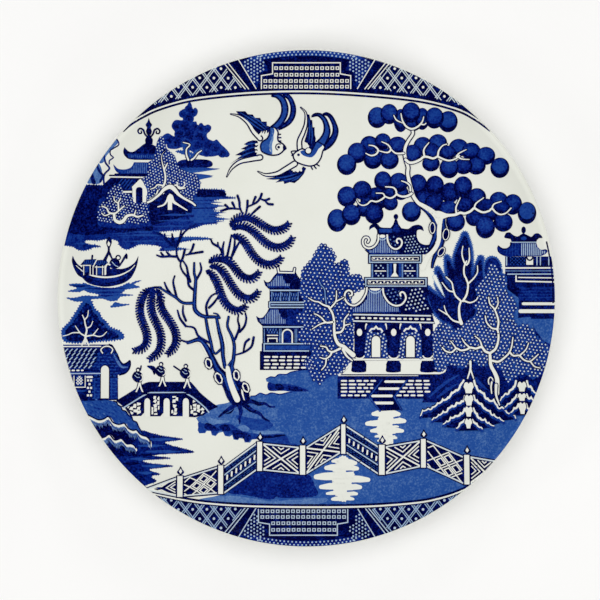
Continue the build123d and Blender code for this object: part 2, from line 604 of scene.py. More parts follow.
def back_profile(grow):
    """Half section of the underside, from the middle of the lip to the foot ring's wiped band."""
    start = np.array(LIP) + LIP_R * np.array([math.sin(TILT), -math.cos(TILT)])
    dx, dz = start[0] - FOOT_R, start[1] - BASE_Z
    radius = (dx**2 + dz**2) / (2 * (dx * math.sin(TILT) - dz * math.cos(TILT)))
    centre = start + radius * np.array([-math.sin(TILT), math.cos(TILT)])
    wall_r = FOOT_R + grow
    wall_z = centre[1] - math.sqrt((radius + grow) ** 2 - (wall_r - centre[0]) ** 2)
    lip = arc_profile(LIP, LIP_R + grow, TILT, TILT - math.pi / 2, 10)
    end = math.atan2(wall_z - centre[1], wall_r - centre[0])
    belly = arc_profile(centre, radius + grow, TILT - math.pi / 2, end, 40)
    return lip + belly[1:] + [(wall_r, FOOT_BARE_H)]


def turned(name, profile, material, replaced):
    """A glaze skin turned from its closed half section, as the CAD node it stands for."""
    vertices, rings, faces = [], [], []
    for r, z in profile:
        count = TURNING_STEPS if r > 1e-6 else 1
        rings.append([len(vertices) + i % count for i in range(TURNING_STEPS)])
        for i in range(count):
            a = 2 * math.pi * i / TURNING_STEPS
            vertices.append((r * math.cos(a) * MM, r * math.sin(a) * MM, z * MM))
    for inner, outer in zip(rings, rings[1:] + rings[:1]):
        for i in range(TURNING_STEPS):
            j = (i + 1) % TURNING_STEPS
            corners = list(dict.fromkeys((inner[i], inner[j], outer[j], outer[i])))
            if len(corners) > 2:
                faces.append(corners[::-1])
    mesh = bpy.data.meshes.new(name)
    mesh.from_pydata(vertices, [], faces)
    mesh.shade_smooth()
    mesh.set_sharp_from_angle(angle=math.radians(40))
    mesh.materials.append(material)
    piece = bpy.data.objects.new(name, mesh)
    bpy.context.scene.collection.objects.link(piece)
    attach(piece, "root")
    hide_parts(replaced)
    return piece


def build_plate():
    """Glaze skins over the CAD body, and looks for the CAD parts that stay."""
    glaze = white_glaze()
    turned("face_glaze", face_profile(GLAZE_T) + face_profile(0)[::-1], glaze, "front_glaze")
    turned("underside_glaze", back_profile(GLAZE_T) + back_profile(0)[::-1], glaze, "back_glaze")
    for node, material in (("foot_well_glaze", glaze), ("fired_body", fired_clay())):
        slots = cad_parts[node].data.materials
        slots.clear()
        slots.append(material)


# ---- The print: borders ----------------------------------------------------------------------

def facing(points, side):
    """Points of a border: above the scene for side 1, mirrored below it for side -1."""
    return np.array(points, float) * (1, side)


def stepped_panel(m, side, panel_at, paper):
    """Outline of the panel, and its pierced squares in rows of height, count and start."""
    panel = [(-24.3, 112.6), (-24.3, 119.4), (-18.3, 120.4), (-18.3, 126.2), (18, 126.2), (18, 120.4),
             (23.6, 119.4), (23.6, 112.6)]
    shift, lift = panel_at
    m.line(facing(np.array(panel) + panel_at, side), 0.6, paper, 2)
    square_pitch, half_width, half_height = 2.74, 0.98, 0.9
    for row, count, start in ((123.4, 13, -16.4), (119.9, 13, -16.4), (116.6, 17, -22.2), (113.6, 17, -22.2)):
        for i in range(count):
            x, y = start + i * square_pitch + shift, side * (row + lift)
            m.fill(box(x - half_width, y - half_height, x + half_width, y + half_height), paper, 2)
            m.dot(x, y, 0.52, NAVY, 5)


def rim_band(m, side, paper):
    """Paler band with two rows of spots along the rim."""
    m.line(facing(arc(0, 0, 131.7, 78, 103, step=1.5), side), 3.6, 0.72 + paper, 1)
    spot_turn = 0.94
    for r, first in ((130.6, 0), (132.1, 0.5)):
        for i in range(-13, 12):
            angle = math.radians(90.6 + (i + first) * spot_turn)
            m.dot(r * math.cos(angle), side * r * math.sin(angle), 0.46, PALE, 2)


def slanted_fields(m, side, paper):
    """Slanting lines on both sides of the panel, with a spotted field within them."""
    for path in ([(-36.8, 128.2), (-27.2, 112.6)], [(-42.6, 126.6), (-31.2, 112.4)],
                 [(-44.4, 126), (-33, 112.4)]):
        for line in (path, np.array(path) * (-1, 1)):
            m.line(facing(line, side), 0.55, paper, 2)
    slanted = facing([(-35.8, 126.8), (-24.8, 130.5), (-20.5, 122.2), (-25.4, 121), (-26.5, 113),
                      (-27.2, 113)], side)
    for field in (slanted, slanted * (-1, 1)):
        m.fill(field, 0.84 + paper, 1)
        m.dots(lattice(field, 1.9, 30, 0.1, margin=0.4), 0.5, PALE, 2)


def border(name, replaced, side, inner, panel_at=(0, 0), paper=BARE):
    """One border segment: a stepped panel of pierced squares between lattice fields.

    The side is 1 above the scene and -1 below it. The paper is the tone of the pale lines.
    """
    m = Motif(name)
    edge = curve(facing(inner, side), step=2)
    m.fill(np.vstack([edge, facing([(98, 135), (-98, 135)], side)]), NAVY)
    for drop, width, tone in ((0, 0.5, NAVY), (0.7, 0.95, BARE), (1.7, 0.95, NAVY)):
        m.line(edge - facing([(0, drop)], side), width, tone, 4)
    stepped_panel(m, side, panel_at, paper)
    rim_band(m, side, paper)
    slanted_fields(m, side, paper)
    for sign in (-1, 1):
        field = [(45.5, 126), (34.5, 112.8), (60, 109), (80, 104.4), (92, 98), (96, 94.6), (88, 101.4),
                 (70, 114)]
        lattice_field(m, facing(field, side) * (sign, 1), side, sign, paper)
    piece = m.build()
    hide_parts(replaced)


def lattice_field(m, field, side, sign, paper):
    """Crossed pairs of pale diagonals with a spot in each diamond."""
    pitch, slope, pair_gap, reach = 7.6, 1.3, 1.25, 30
    middle_x, middle_y = sign * 46.5, 118
    for k in range(-14, 15):
        for lean in (-1, 1):
            for gap in (0, pair_gap):
                x = middle_x + k * pitch + gap
                run_x = reach * lean / slope
                line = [(x - run_x, side * (middle_y - reach)), (x + run_x, side * (middle_y + reach))]
                path, _ = resample(line, 0.8)
                for run in runs_inside(path, field):
                    m.line(run, 0.5, paper + 0.08, 2)
        for j in range(-4, 5):
            x = middle_x + 0.6 + (k + 0.5 * ((j + 1) % 2)) * pitch
            y = middle_y + j * pitch * slope / 2
            if inside([(x, side * y)], field, 0.8)[0]:
                m.dot(x, side * y, 0.7, paper, 3)


def draw_borders():
    """The segments above and below the scene, each with its own inner edge."""
    upper = [(-98, 91.4), (-94.5, 94.4), (-88, 98.4), (-78, 103), (-60, 107.8), (-30, 111), (0, 111.8),
             (30, 110.4), (60, 107.2), (80, 102.2), (90, 97.2), (98, 91.6)]
    lower = [(-92, 99.5), (-84, 104.4), (-78.3, 106.1), (-66.7, 108.6), (-52.7, 110.7), (-31.7, 112.2),
             (0, 112.8), (32, 112.4), (58, 110.4), (71, 107.9), (81.4, 104.5), (88, 101), (96, 95)]
    border("upper_border", "upper_border_print", 1, upper)
    border("lower_border", "lower_border_print", -1, lower, (-1.6, 0.7), 0.12)


# ---- The print: lake, banks and fence --------------------------------------------------------

def gleam(m, x, y, rx, ry, tips):
    """Bare glaze where light lies on the water: a core with rounded tongues to the given tips."""
    m.fill(ragged(arc(x, y, rx, ry=ry), 0.5, 1.6, 3), BARE, 2)
    for tip_x, tip_y, height in tips:
        end_x = tip_x + math.copysign(height * 0.25, x - tip_x)
        tongue = curve([(x, tip_y + 0.5), ((x + end_x) / 2, tip_y + 0.4), (end_x, tip_y)])
        m.line(tongue, [height, height, height * 0.95, height * 0.6], BARE, 2)


def lake_water(m):
    """Water and its shades."""
    shore = curve([(-21.8, -43.4), (-19.5, -42.2), (-17, -42.4), (-15, -40.9), (-11, -40.9), (-8.8, -39.8),
                   (-5, -39), (0, -38.5), (8, -40), (17, -41)])
    east = [(17, -54), (60, -54), (66, -40), (80, -30), (90, -12), (96, 4), (104, 14), (110, 12), (117, 3),
            (136, 2)]
    south = curve([(93, -97), (80, -104), (60, -109), (30, -111.2), (0, -111.8), (-30, -111.4),
                   (-60, -108.6)])
    west = [(-45.5, -105.4), (-28, -91.4), (-25, -75.5), (-13, -73.6), (-22, -64), (-30, -52.6)]
    bank = curve([(-30, -52.6), (-27.5, -52.4), (-25, -51), (-22, -51.9), (-19, -50.9), (-14.5, -51.6),
                  (-10.5, -50.8), (-8, -50.4)])
    gap = [(-12, -49.8), (-20.4, -49.6), (-20.2, -45.4), (-21.8, -44.6)]
    rim = arc(0, 0, 136, 0, -46, step=3)
    m.fill(np.vstack([shore, east, rim, south, west, bank, gap]), WASH)
    m.line(shore[:60], 0.55, COBALT)
    m.line(bank, 0.6, COBALT)
    m.patch([(-42, -104.2), (-35, -98.2), (-28, -92), (-4, -93.5), (1, -94.8), (3, -97), (4.5, -101),
             (6, -105.4), (0, -107), (-14, -107.2), (-16, -106.4), (-18.5, -108), (-24, -107.6),
             (-32, -105.8)], 0.84, 1)
    m.patch([(-25, -76), (-12, -73.6), (-9, -77.5), (-4, -79), (-14, -79), (-24, -78.4)], 0.7, 1)
    m.patch([(-58, -108), (-45, -106), (-34, -106.6), (-20, -109), (-10, -108.4), (10, -107.2),
             (6, -110.4), (-20, -110.8), (-46, -109.8)], 0.38, 0)


def lake_gleams(m):
    """Gleams with ripples over them."""
    gleam(m, 43, -69, 5, 10, [(35, -62.2, 3.4), (31.6, -67.4, 3.6), (34.2, -71.3, 2.8), (36.6, -74.3, 1.8),
                              (38, -76.6, 1.6), (50.4, -62.3, 3.6), (53.4, -66, 3.6), (49.6, -69, 1.4),
                              (52.2, -71.3, 3.0), (48.6, -75, 2.2), (46.5, -77.6, 2.2)])
    gleam(m, 19.6, -97, 6, 12.2, [(13.4, -87.6, 2.4), (9.6, -91.2, 3.6), (4, -96, 4.4), (6.8, -101.4, 3.6),
                                  (10.4, -104.9, 2.2), (13.2, -107.9, 2.6), (27, -88.6, 3.4),
                                  (28, -91.5, 3.4), (24, -94.6, 1.6), (34, -97.5, 3.8), (29.6, -101.5, 3.6),
                                  (27.4, -105, 2.6), (25.5, -107.8, 2.2)])
    ripples = [(-89, 11, 16.5), (-93.4, 8, 15.5), (-98.7, 9, 15), (-103.2, 8, 15), (-93, 21.5, 26.5),
               (-99.4, 24.5, 30.5), (-103.6, 22, 27.5), (-106.4, 12, 17), (-65.4, 35, 38.5), (-64.3, 47, 50),
               (-68, 46.5, 50), (-69.6, 35, 38), (-73.3, 46.5, 50)]
    m.streaks(ripples, [0.9, 0.7, 0], WASH, 3, rise=0.15)


def willow_ground(m):
    """Ground under the willow."""
    m.fill(np.vstack([curve([(-59.4, -64.4), (-55, -61.5), (-51, -58.4), (-48, -57.2), (-42.6, -56.2),
                             (-38, -54), (-30, -52.8), (-24, -54), (-16, -60), (-17, -68), (-12, -73.4)]),
                      [(-22, -75.2), (-29.4, -76), (-30.4, -77.6), (-33.4, -77.5), (-33.8, -75.6),
                       (-36.2, -75.2), (-37, -76.3), (-39.4, -75.9), (-39.8, -73.4), (-41.4, -74.4),
                       (-44, -74), (-45, -71.8), (-47.4, -72.4), (-49, -74.1), (-51, -73.6), (-51.6, -71.4),
                       (-53.8, -71.3), (-54.6, -72.5), (-57.8, -72.6), (-58.6, -71), (-58, -67)]]), 0.44)
    m.patch([(-58, -66.6), (-52, -68.4), (-46, -67), (-40, -68), (-36, -70.6), (-28, -72.8), (-12, -73.2),
             (-22, -75.2), (-29.6, -75.8), (-31, -77.3), (-33.2, -77.2), (-34.2, -75), (-36.6, -74.9),
             (-37.6, -76), (-39.3, -75.4), (-40.4, -72.8), (-42, -74), (-44, -73.6), (-45.4, -71.2),
             (-47.4, -71.8), (-49, -73.6), (-50.8, -73), (-51.8, -71), (-54.2, -71), (-55, -72.2),
             (-57.6, -72.2), (-58.2, -70)], 0.72, 1)
    for patch in ([(-54, -67), (-50, -68.4), (-47, -71), (-52, -71), (-55, -69.6)],
                  [(-40, -71), (-35, -71.6), (-30, -74), (-31, -77), (-33, -77), (-35, -74.6), (-38, -75.8)],
                  [(-47, -68.6), (-43, -68), (-41, -71), (-45, -71.4)]):
        m.patch(patch, 0.93, 2)
    m.patch([(-38, -63), (-30, -64.4), (-22, -65.6), (-18, -68), (-22, -71), (-30, -70.6), (-34, -68.6)],
            BLUE, 1)
    for patch in ([(-37, -69.2), (-33.6, -68.2), (-30.6, -70.4), (-34, -71.6)],
                  [(-29, -72), (-20, -71.4), (-12, -72.2), (-22, -73.2)],
                  [(-54, -64), (-47, -65.4), (-41, -66), (-46, -67.4), (-52, -67)]):
        m.patch(patch, 0.36, 2)
    m.line([(-25, -74.6), (-18, -74.4), (-11.8, -73.5)], [1.4, 1.2, 0.4], NAVY, 2)


def willow_roots(m):
    """Roots, and the ground under the small pagoda."""
    roots = [[(-36, -56.6), (-30, -55.4), (-26, -56.6), (-22.5, -56.6), (-20, -58.2), (-17.4, -58.4)],
             [(-33.4, -57.4), (-29.4, -60.2), (-25.4, -62), (-23, -64.6), (-20.2, -66)],
             [(-36.4, -57), (-35.4, -61), (-36, -64), (-36, -67.2)],
             [(-38, -57), (-41, -59), (-44.4, -61.4), (-47.2, -63.8)]]
    for root in roots:
        m.stroke(root, [2.6, 1.7, 0.7], 0.9, 2)
    m.lines([[(-29, -56.4), (-25.6, -57.4), (-23.4, -57.2)], [(-33, -59), (-30, -60.8), (-28, -61)],
             [(-43.4, -62), (-41, -61.4), (-39.2, -59.6)]], [0.2, 0.9, 0.2], NAVY, 3)
    m.patch([(-20.6, -45.2), (-16, -46.4), (-10, -46), (-4, -47.6), (1, -49.8), (-6, -50.2), (-12, -49.6),
             (-20.2, -49.6)], 0.8, 1)
    for patch in ([(-17, -46.4), (-14, -46), (-12, -48.6), (-16, -49.4)],
                  [(-10, -47), (-5, -48), (-2, -49.8), (-9, -49.6)]):
        m.patch(patch, 0.95, 2)


# Posts of the fence: middle, top, foot and width
POSTS = [(-68, -95.4, -106.4, 2.8), (-46.2, -89.8, -105, 2.6), (-25.3, -77.2, -92.8, 2.6),
         (-2.2, -79.2, -94.8, 2.8), (19.7, -67.8, -83.6, 2.2), (40.4, -78.8, -94.8, 3.0),
         (62.7, -75.6, -90.9, 2.5), (85.8, -84.0, -99.6, 2.7)]


def fence_bars(m, at, seed):
    """Two slats, a row of short posts between them, and dashes of shade."""
    def bar(u0, v0, u1, v1, width, tone):
        m.line([at(u0, v0), at(u1, v1)], width, tone, 2)

    bar(0, 0.7, 1, 0.74, 0.6, PALE)
    bar(0, 0.3, 1, 0.32, 0.6, PALE)
    post_count, dash_count = 7, 11
    for i in range(post_count):
        u = (i + 0.6) / post_count
        bar(u, 0.46, u + 0.01, 0.6, 0.9, BARE)
    rng = random.Random(seed)
    for v in (0.12, 0.2, 0.4, 0.62, 0.84, 0.92):
        for i in range(dash_count):
            u = (i + rng.uniform(0.2, 0.8)) / dash_count
            bar(u, v, min(u + 0.05, 1), v, 0.3, 0.5)


def fence_diamonds(m, at):
    """Crossed bars with a pierced diamond at each crossing."""
    middle_u, middle_v, step_u, step_v = 0.6, 0.43, 0.21, 0.25
    near, far = 0.02, 0.98
    bay = np.array([at(near, near), at(far, near), at(far, far), at(near, far)])
    steps = range(-2, 3)
    for i in steps:
        for lean in (-1, 1):
            bar = [at(middle_u + (2 * i + lean * t) * step_u, middle_v + step_v * t) for t in steps]
            for run in runs_inside(resample(bar, 0.5)[0], bay):
                m.line(run, 0.6, BARE, 2)
        for j in range(-1, 2):
            u, v = middle_u + 2 * i * step_u + step_u * ((j + 1) % 2), middle_v + step_v * j
            if 0.3 < u < 0.9:
                diamond = [at(u - 0.12, v), at(u, v + 0.15), at(u + 0.12, v), at(u, v - 0.15)]
                m.line(diamond, 0.6, BARE, 3, closed=True)


def fence_cross(m, at):
    """Two diagonals with chevrons nested between them on all four sides."""
    def stroke(width, *points):
        m.line([at(*point) for point in points], width, BARE, 2)

    stroke(0.85, (0.02, 0.04), (0.98, 0.96))
    stroke(0.85, (0.02, 0.96), (0.98, 0.04))
    for side in (-1, 1):
        for k in (0.19, 0.35):
            rise, v = 0.42 - k, 0.5 + side * (k + (0.42 - k))
            stroke(0.6, (0.5 - rise, v), (0.5, 0.5 + side * k), (0.5 + rise, v))
        for k in (0.16, 0.31):
            run, u = 0.46 - k, 0.5 + side * (k + (0.46 - k))
            stroke(0.6, (u, 0.5 - run), (0.5 + side * k, 0.5), (u, 0.5 + run))


def fence_panel(m, left, right, style, seed):
    """One bay between two posts; its pattern is drawn on a unit square and set to the bay."""
    (x0, top0, low0, w0), (x1, top1, low1, w1) = left, right
    x0, x1 = x0 + w0 / 2 + 0.6, x1 - w1 / 2 - 0.6
    top0, top1, low0, low1 = top0 - 1.1, top1 - 1.1, low0 + 0.6, low1 + 0.6
    rail_reach = 1.05

    def at(u, v):
        low, top = low0 + (low1 - low0) * u, top0 + (top1 - top0) * u
        return (x0 + (x1 - x0) * u, low + (top - low) * v)

    frame_loop = np.array([at(-0.03, 0), at(1.03, 0), at(1.03, 1), at(-0.03, 1)])
    frame_loop[:, 1] += np.array([-1, -1, 1, 1]) * rail_reach
    m.fill(frame_loop, NAVY, 1)
    for v in (1, 0):
        m.line([at(0, v), at(1, v)], 0.75, 0.06, 2)
    if style == "bars":
        fence_bars(m, at, seed)
    elif style == "diamonds":
        fence_diamonds(m, at)
    else:
        fence_cross(m, at)


def fence(m):
    """Bays between posts with finials."""
    styles = ["diamonds", "bars", "cross", "cross", "bars", "cross", "diamonds"]
    for i, style in enumerate(styles):
        fence_panel(m, POSTS[i], POSTS[i + 1], style, i)
    first, last = POSTS[0], POSTS[-1]
    fence_panel(m, (-86, -101, -103.2, 0), first, "cross", 9)
    fence_panel(m, last, (103, -86.4, -101, 0), "cross", 10)
    for x, top, low, width in POSTS:
        m.fill(box(x - width / 2 - 0.7, low - 0.6, x + width / 2 + 0.7, top + 0.4), NAVY, 3)
        m.fill(box(x - width / 2, low, x + width / 2, top), BARE, 6)
        finial = np.array([(0, 0.4), (1.9, 2.0), (0.9, 3.6), (0, 5.2), (-0.9, 3.6), (-1.9, 2.0)])
        m.fill(curve(finial + (x + 0.3, top), closed=True, step=0.3), NAVY, 3)
        m.fill(np.array([(0, 1.2), (0.9, 2.5), (0, 4.0), (-0.9, 2.5)]) + (x + 0.3, top), BARE, 6)


# ---- The print: pagodas ----------------------------------------------------------------------

def scroll_edge(m, path):
    """The curling white edge of a roof."""
    m.vein(curve(path, step=0.4), 0.9, 0.45, layer=3)


def tiled_slope(m, points):
    """A slope of a roof in upright hatching."""
    slope = np.array(points)
    m.fill(slope, 0.78, 1)
    m.hatch(slope, 0.95, 0.38, 90, 0.2, 2, 0.12)


def check_panel(m, x0, y0, x1, y1):
    """A window of chequered lattice."""
    pitch = 1.25
    m.fill(box(x0, y0, x1, y1), NAVY, 2)
    for j in range(int((y1 - y0) / pitch)):
        for i in range(int((x1 - x0) / pitch)):
            if (i + j) % 2:
                x, y = x0 + (i + 0.6) * pitch, y0 + (j + 0.6) * pitch
                m.dot(x, y, pitch * 0.36, PALE, 3)


def main_ridge(m):
    """Ridge and spire."""
    cap = curve([(33.6, 36.6), (33.9, 38.8), (36, 40.3), (38.2, 39.9), (40, 38.2), (45.2, 37.9)], step=0.5)
    cap_right = curve([(51, 37.7), (54.6, 37.4), (57, 39), (60, 39.6), (62.2, 38.6), (62.9, 36.2),
                       (61.4, 36.9), (59.6, 36.6), (59, 34.4)], step=0.5)
    m.fill(np.vstack([cap, [(46.6, 39.8), (47.4, 42.4), (48.6, 42.4), (49.4, 39.8)], cap_right,
                      [(38, 34.4)], curve([(37.8, 36.6), (36.4, 38.2), (34.8, 37.6), (33.6, 36.6)])]), NAVY)
    m.dot(48, 43.9, 1.25, NAVY, 0, ry=1.5)
    m.patch([(46.2, 36.4), (47.4, 39.4), (48.4, 39.6), (50, 36.4), (48, 35.6)], COBALT, 1)
    m.fill(box(39, 35.4, 46, 37.4), BLUE, 1)


def main_upper_roof(m):
    """Upper roof."""
    m.fill(np.vstack([[(38.2, 34.8), (59.2, 35)],
                      curve([(59.2, 33), (60.6, 30.2), (63.6, 28.8), (66.4, 29.2), (69, 31.4)]),
                      [(69.4, 28), (67.2, 25.8), (64, 23.6), (33.6, 23.6), (31, 26.2), (36, 26)]]), NAVY)
    tiles = np.array([(51.5, 34.6), (58.8, 34.6), (59.4, 30.6), (62.4, 28.2), (67.8, 28.4), (66, 25.6),
                      (61, 23.9), (51, 24.2), (52.4, 29)])
    m.dots(lattice(tiles[::-1], 1.75, -52, 0.08, margin=0.3), 0.42, PALE, 2)
    tiled_slope(m,
                [(38.6, 33.4), (43, 33.4), (44, 29.6), (46.4, 26.6), (50, 25), (49.6, 23.9), (34.2, 23.9),
                 (32.4, 26), (35.4, 26.4), (38, 29.4)])
    m.dots(lattice(arc(47.2, 30.8, 3.2), 2.3, 40, 0.1), 0.45, SKY, 2)
    scroll_edge(m, [(38.6, 34), (38.4, 31), (36.6, 28.2), (33.6, 26.9), (31, 28), (30.1, 30.6), (31, 32.6),
                    (32.7, 32.7), (33.5, 31.4), (32.9, 30.2)])
    scroll_edge(m, [(43.3, 34), (43.7, 30.6), (45.4, 27.6), (48, 26.5), (50.3, 27.7), (51.3, 30),
                    (50.5, 31.8), (49, 32), (48.3, 30.8), (48.9, 29.8)])
    m.fill(arc(40.7, 33.4, 1.6, ry=0.9), BARE, 3)
    m.line(arc(40.7, 33.2, 2.2, 200, 340, ry=1.8), 0.4, PALE, 3)


def main_eaves(m):
    """Eaves, as framed bands with a row of spots."""
    for x0, y0, x1, y1 in ((33.9, 19.4, 61.3, 23.2), (31.8, 6.6, 64.2, 10.7)):
        m.fill(box(x0 - 1, y0 - 0.9, x1 + 1, y1 + 0.8), NAVY, 1)
        m.line(box(x0, y0, x1, y1), 0.6, PALE, 2, closed=True)
        m.line(box(x0 + 1.3, y0 + 1.15, x1 - 1.3, y1 - 1.15), 0.3, BARE, 2, closed=True)
        for i in range(int((x1 - x0 - 3) / 1.9)):
            m.dot(x0 + 2.3 + i * 1.9, (y0 + y1) / 2 + 0.25 * (-1) ** i, 0.5, BARE, 3)


def main_upper_storey(m):
    """Upper storey."""
    m.fill(box(34.4, 10.8, 60.6, 19), NAVY)
    for x in (35.3, 43.6, 51.5, 59.6):
        m.fill(box(x - 0.4, 11.2, x + 0.4, 18.6), SKY, 2)
    for x in (45.2, 50.2):
        m.fill(box(x - 0.7, 11.4, x + 0.7, 18.8), BLUE, 1)
    for x0 in (36.6, 52.4):
        check_panel(m, x0, 15.6, x0 + 6.2, 18.6)
        check_panel(m, x0, 11.4, x0 + 6.2, 14)
        m.line([(x0, 14.7), (x0 + 5.9, 14.7)], 0.55, BARE, 3)
    m.fill(np.array([(46.7, 18.6), (46.9, 14), (45.2, 11.7), (49.4, 11.7), (47.9, 14), (48.2, 18.6)]), BARE,
           2)


def main_lower_roof(m):
    """Lower roof."""
    m.fill(np.vstack([[(31.5, 6), (65, 6)], curve([(65.4, 4), (65, 0), (66.4, -4), (68.4, -8)]),
                      [(25, -8), (21.5, -6.5), (26, -4.6), (30.4, -1)]]), NAVY)
    m.dots(lattice(np.array([(51, -7.4), (66.6, -7.4), (65, -3), (63.8, 1), (64.2, 5.4), (55, 5.4),
                             (54.6, -1)]), 2.15, -48, 0.1, margin=0.3), 0.5, 0.1, 2)
    m.dots(lattice(np.array([(44, 0), (47.6, -2.6), (51.4, -1), (50, 5), (42.6, 5)]), 2.15, -48, 0.1), 0.45,
           SKY, 2)
    tiled_slope(m,
                [(33, 4.6), (41.2, 4.6), (42.2, 0.6), (45.4, -3.4), (49.6, -5), (50.6, -7.6),
                 (24.6, -7.6), (24, -5.6), (29, -4), (32.4, -0.4)])
    scroll_edge(m, [(32.4, 5.6), (31.9, 2.6), (29.4, -1.5), (26, -3.8), (22.6, -3), (20.5, 0), (20.8, 3),
                    (22.5, 4.3), (24.2, 3.5), (24.3, 1.9), (23.2, 1.4)])
    scroll_edge(m, [(41, 5.2), (41.5, 2), (44, -2), (47.5, -3.9), (51, -3.3), (53.2, -0.5), (53, 2),
                    (51.7, 3.4), (50.3, 2.8), (50.5, 1.4)])
    m.fill(arc(36.8, 5.4, 2.9, 180, 360, ry=1.3), BARE, 3)
    m.line(arc(36.8, 5.2, 3.4, 190, 350, ry=2.4), 0.4, PALE, 3)


def main_band(m):
    """Band between roof and ground storey."""
    m.fill(np.array([(24.6, -7.8), (67.4, -8), (69, -13.8), (24.6, -13.4)]), NAVY, 0)
    m.line([(25.2, -8.7), (66.6, -9.4)], 0.75, 0.06, 2)
    m.line([(25.2, -12.2), (68.2, -13.1)], 0.75, 0.06, 2)
    m.dashes((26.2, -10.5), (67.4, -11.3), 2.1, 1.1, 0.95, BARE, 2)


def main_ground_storey(m):
    """Ground storey."""
    m.fill(box(25.6, -32.4, 68, -13), NAVY)
    for x in (28.4, 46.8, 65.1):
        m.fill(box(x - 2.4, -31, x + 2.4, -20), 0.94, 1)
        m.dot(x, -18.3, 1.45, BARE, 2, ry=1.95)
        m.line(arc(x, -30.6, 2.6, 195, 345, ry=1.8), 0.7, BARE, 3)
    for x in (37.3, 55.8):
        m.fill(arc(x, -16, 5.4, ry=3.2), COBALT, 1)
        court = np.vstack([[(x + 6.2, -32), (x + 5.8, -22)], arc(x, -20.4, 5.4, 0, 180, ry=2.6),
                           [(x - 5.8, -22), (x - 6.2, -32)]])
        m.lace(court, 1.95, 20, 0.9, 0.5, seed=int(x), layer=1)
        crest = [(x - 3.4, -17.6), (x - 2.4, -16.4), (x - 1, -16.4), (x, -15.2), (x + 1, -16.4),
                 (x + 2.4, -16.4), (x + 3.4, -17.6)]
        m.line(crest, 0.9, BARE, 4)
        m.fill(arc(x, -18.4, 2.2, 0, 180, ry=1.4), NAVY, 3)
        for sign in (-1, 1):
            m.stroke([(x + sign * 5.2, -13.9), (x + sign * 5.6, -15.2), (x + sign * 5.7, -16.6)],
                     [0.9, 0.3], BARE, 3)
        m.fill(np.vstack([[(x - 2.9, -31.9), (x + 2.9, -31.9)], arc(x, -22.6, 2.9, 0, 180, ry=2.9)]), NAVY, 4)
        m.fill(np.vstack([[(x - 2.25, -31.6), (x + 2.25, -31.6)], arc(x, -22.6, 2.25, 0, 180, ry=2.3)]),
               BARE, 5)


def main_plinth(m):
    """Plinth with dark barrels."""
    m.fill(np.vstack([[(24.8, -33.4), (68.6, -33.6), (72, -38)],
                      curve([(76.6, -36), (75, -39.4), (72.4, -41.4)]), [(18, -41.4), (24, -36)]]), NAVY)
    m.fill(np.vstack([[(24.4, -35.6), (24.4, -39.4), (68.8, -39.6), (72, -39.8)],
                      curve([(75.4, -37), (74.4, -39.6), (71.6, -40.8)]), [(19, -40.8)]]), BARE, 1)
    for x0, x1 in ((31.6, 42.9), (50.2, 61.4)):
        m.fill(np.array([(x0 + 0.4, -39.8), (x0 + 0.6, -35.4), (x0 - 0.4, -33.6), (x1 + 0.6, -33.6),
                         (x1 - 0.2, -35.4), (x1, -39.8)]), BARE, 2)
    for x0, x1 in ((24.2, 31.8), (42.8, 50.2), (61.2, 68.8)):
        m.patch([(x0, -37), (x0 + 1, -34.2), (x1 - 1, -34.2), (x1, -37), (x1 - 0.4, -39.6),
                 (x0 + 0.4, -39.6)], NAVY, 3)


def main_terrace(m):
    """Terrace and steps."""
    m.fill(np.array([(16.6, -41.8), (70, -41.8), (66, -46), (64, -54), (16.6, -54)]), 0.93)
    courses = ((-44.4, 38.5, 54.6), (-46.3, 37.5, 53.2), (-48.2, 35.8, 51.5), (-50.2, 34.2, 49.8),
               (-52.2, 32.4, 48.2))
    for i, (y, x_left, x_right) in enumerate(courses):
        brick = 3.0 + 0.7 * (i % 2)
        m.dashes((18.4, y), (x_left, y), brick, 0.9, 0.95, BARE, 2, seed=i)
        m.dashes((x_right, y), (66.5 if y > -51 else 64, y), brick, 0.9, 0.95, BARE, 2, seed=i + 5)
    stairs = np.array([(41, -43), (55, -43), (47.4, -53), (51.4, -60), (39.6, -60.6), (33, -53)])
    m.fill(stairs, NAVY, 3)
    for (x0, x1, y), rise in zip(((42.4, 52.6, -44.8), (39.2, 49.4, -48.6), (35.4, 45.6, -52.5),
                                  (36.4, 46, -56.3)), (1.3, 1.3, 1.4, 1.5)):
        m.line([(x0, y), (x1, y)], rise, BARE, 4)
    for path in ([(40.4, -44), (33.6, -53), (39.4, -60.6)], [(54, -44), (47, -53), (51, -60)]):
        m.line(path, 1.1, COBALT, 5)
        m.line(path, 0.3, 0.5, 6)


def small_upper_roof(m):
    """Upper roof."""
    m.fill(np.vstack([[(-15.6, 14.2), (-5.8, 14)], curve([(-5, 12.4), (-3.4, 10), (-2.6, 7), (-2.8, 5)]),
                      [(-20.4, 5)], curve([(-22.4, 7), (-23.1, 9.9), (-21.6, 8.7), (-19.8, 9.1),
                                           (-18, 11.6)])]), NAVY)
    m.vein([(-15.5, 16.4), (-15, 13.9), (-6.9, 13.7), (-6.5, 16)], 0.75, 0.5, layer=1)
    tiled_slope(m,
                [(-15.8, 12.8), (-13.4, 12.8), (-12, 10), (-11, 8), (-8.4, 8), (-9.8, 5.8), (-20, 5.8),
                 (-22, 8), (-19.4, 8.4)])


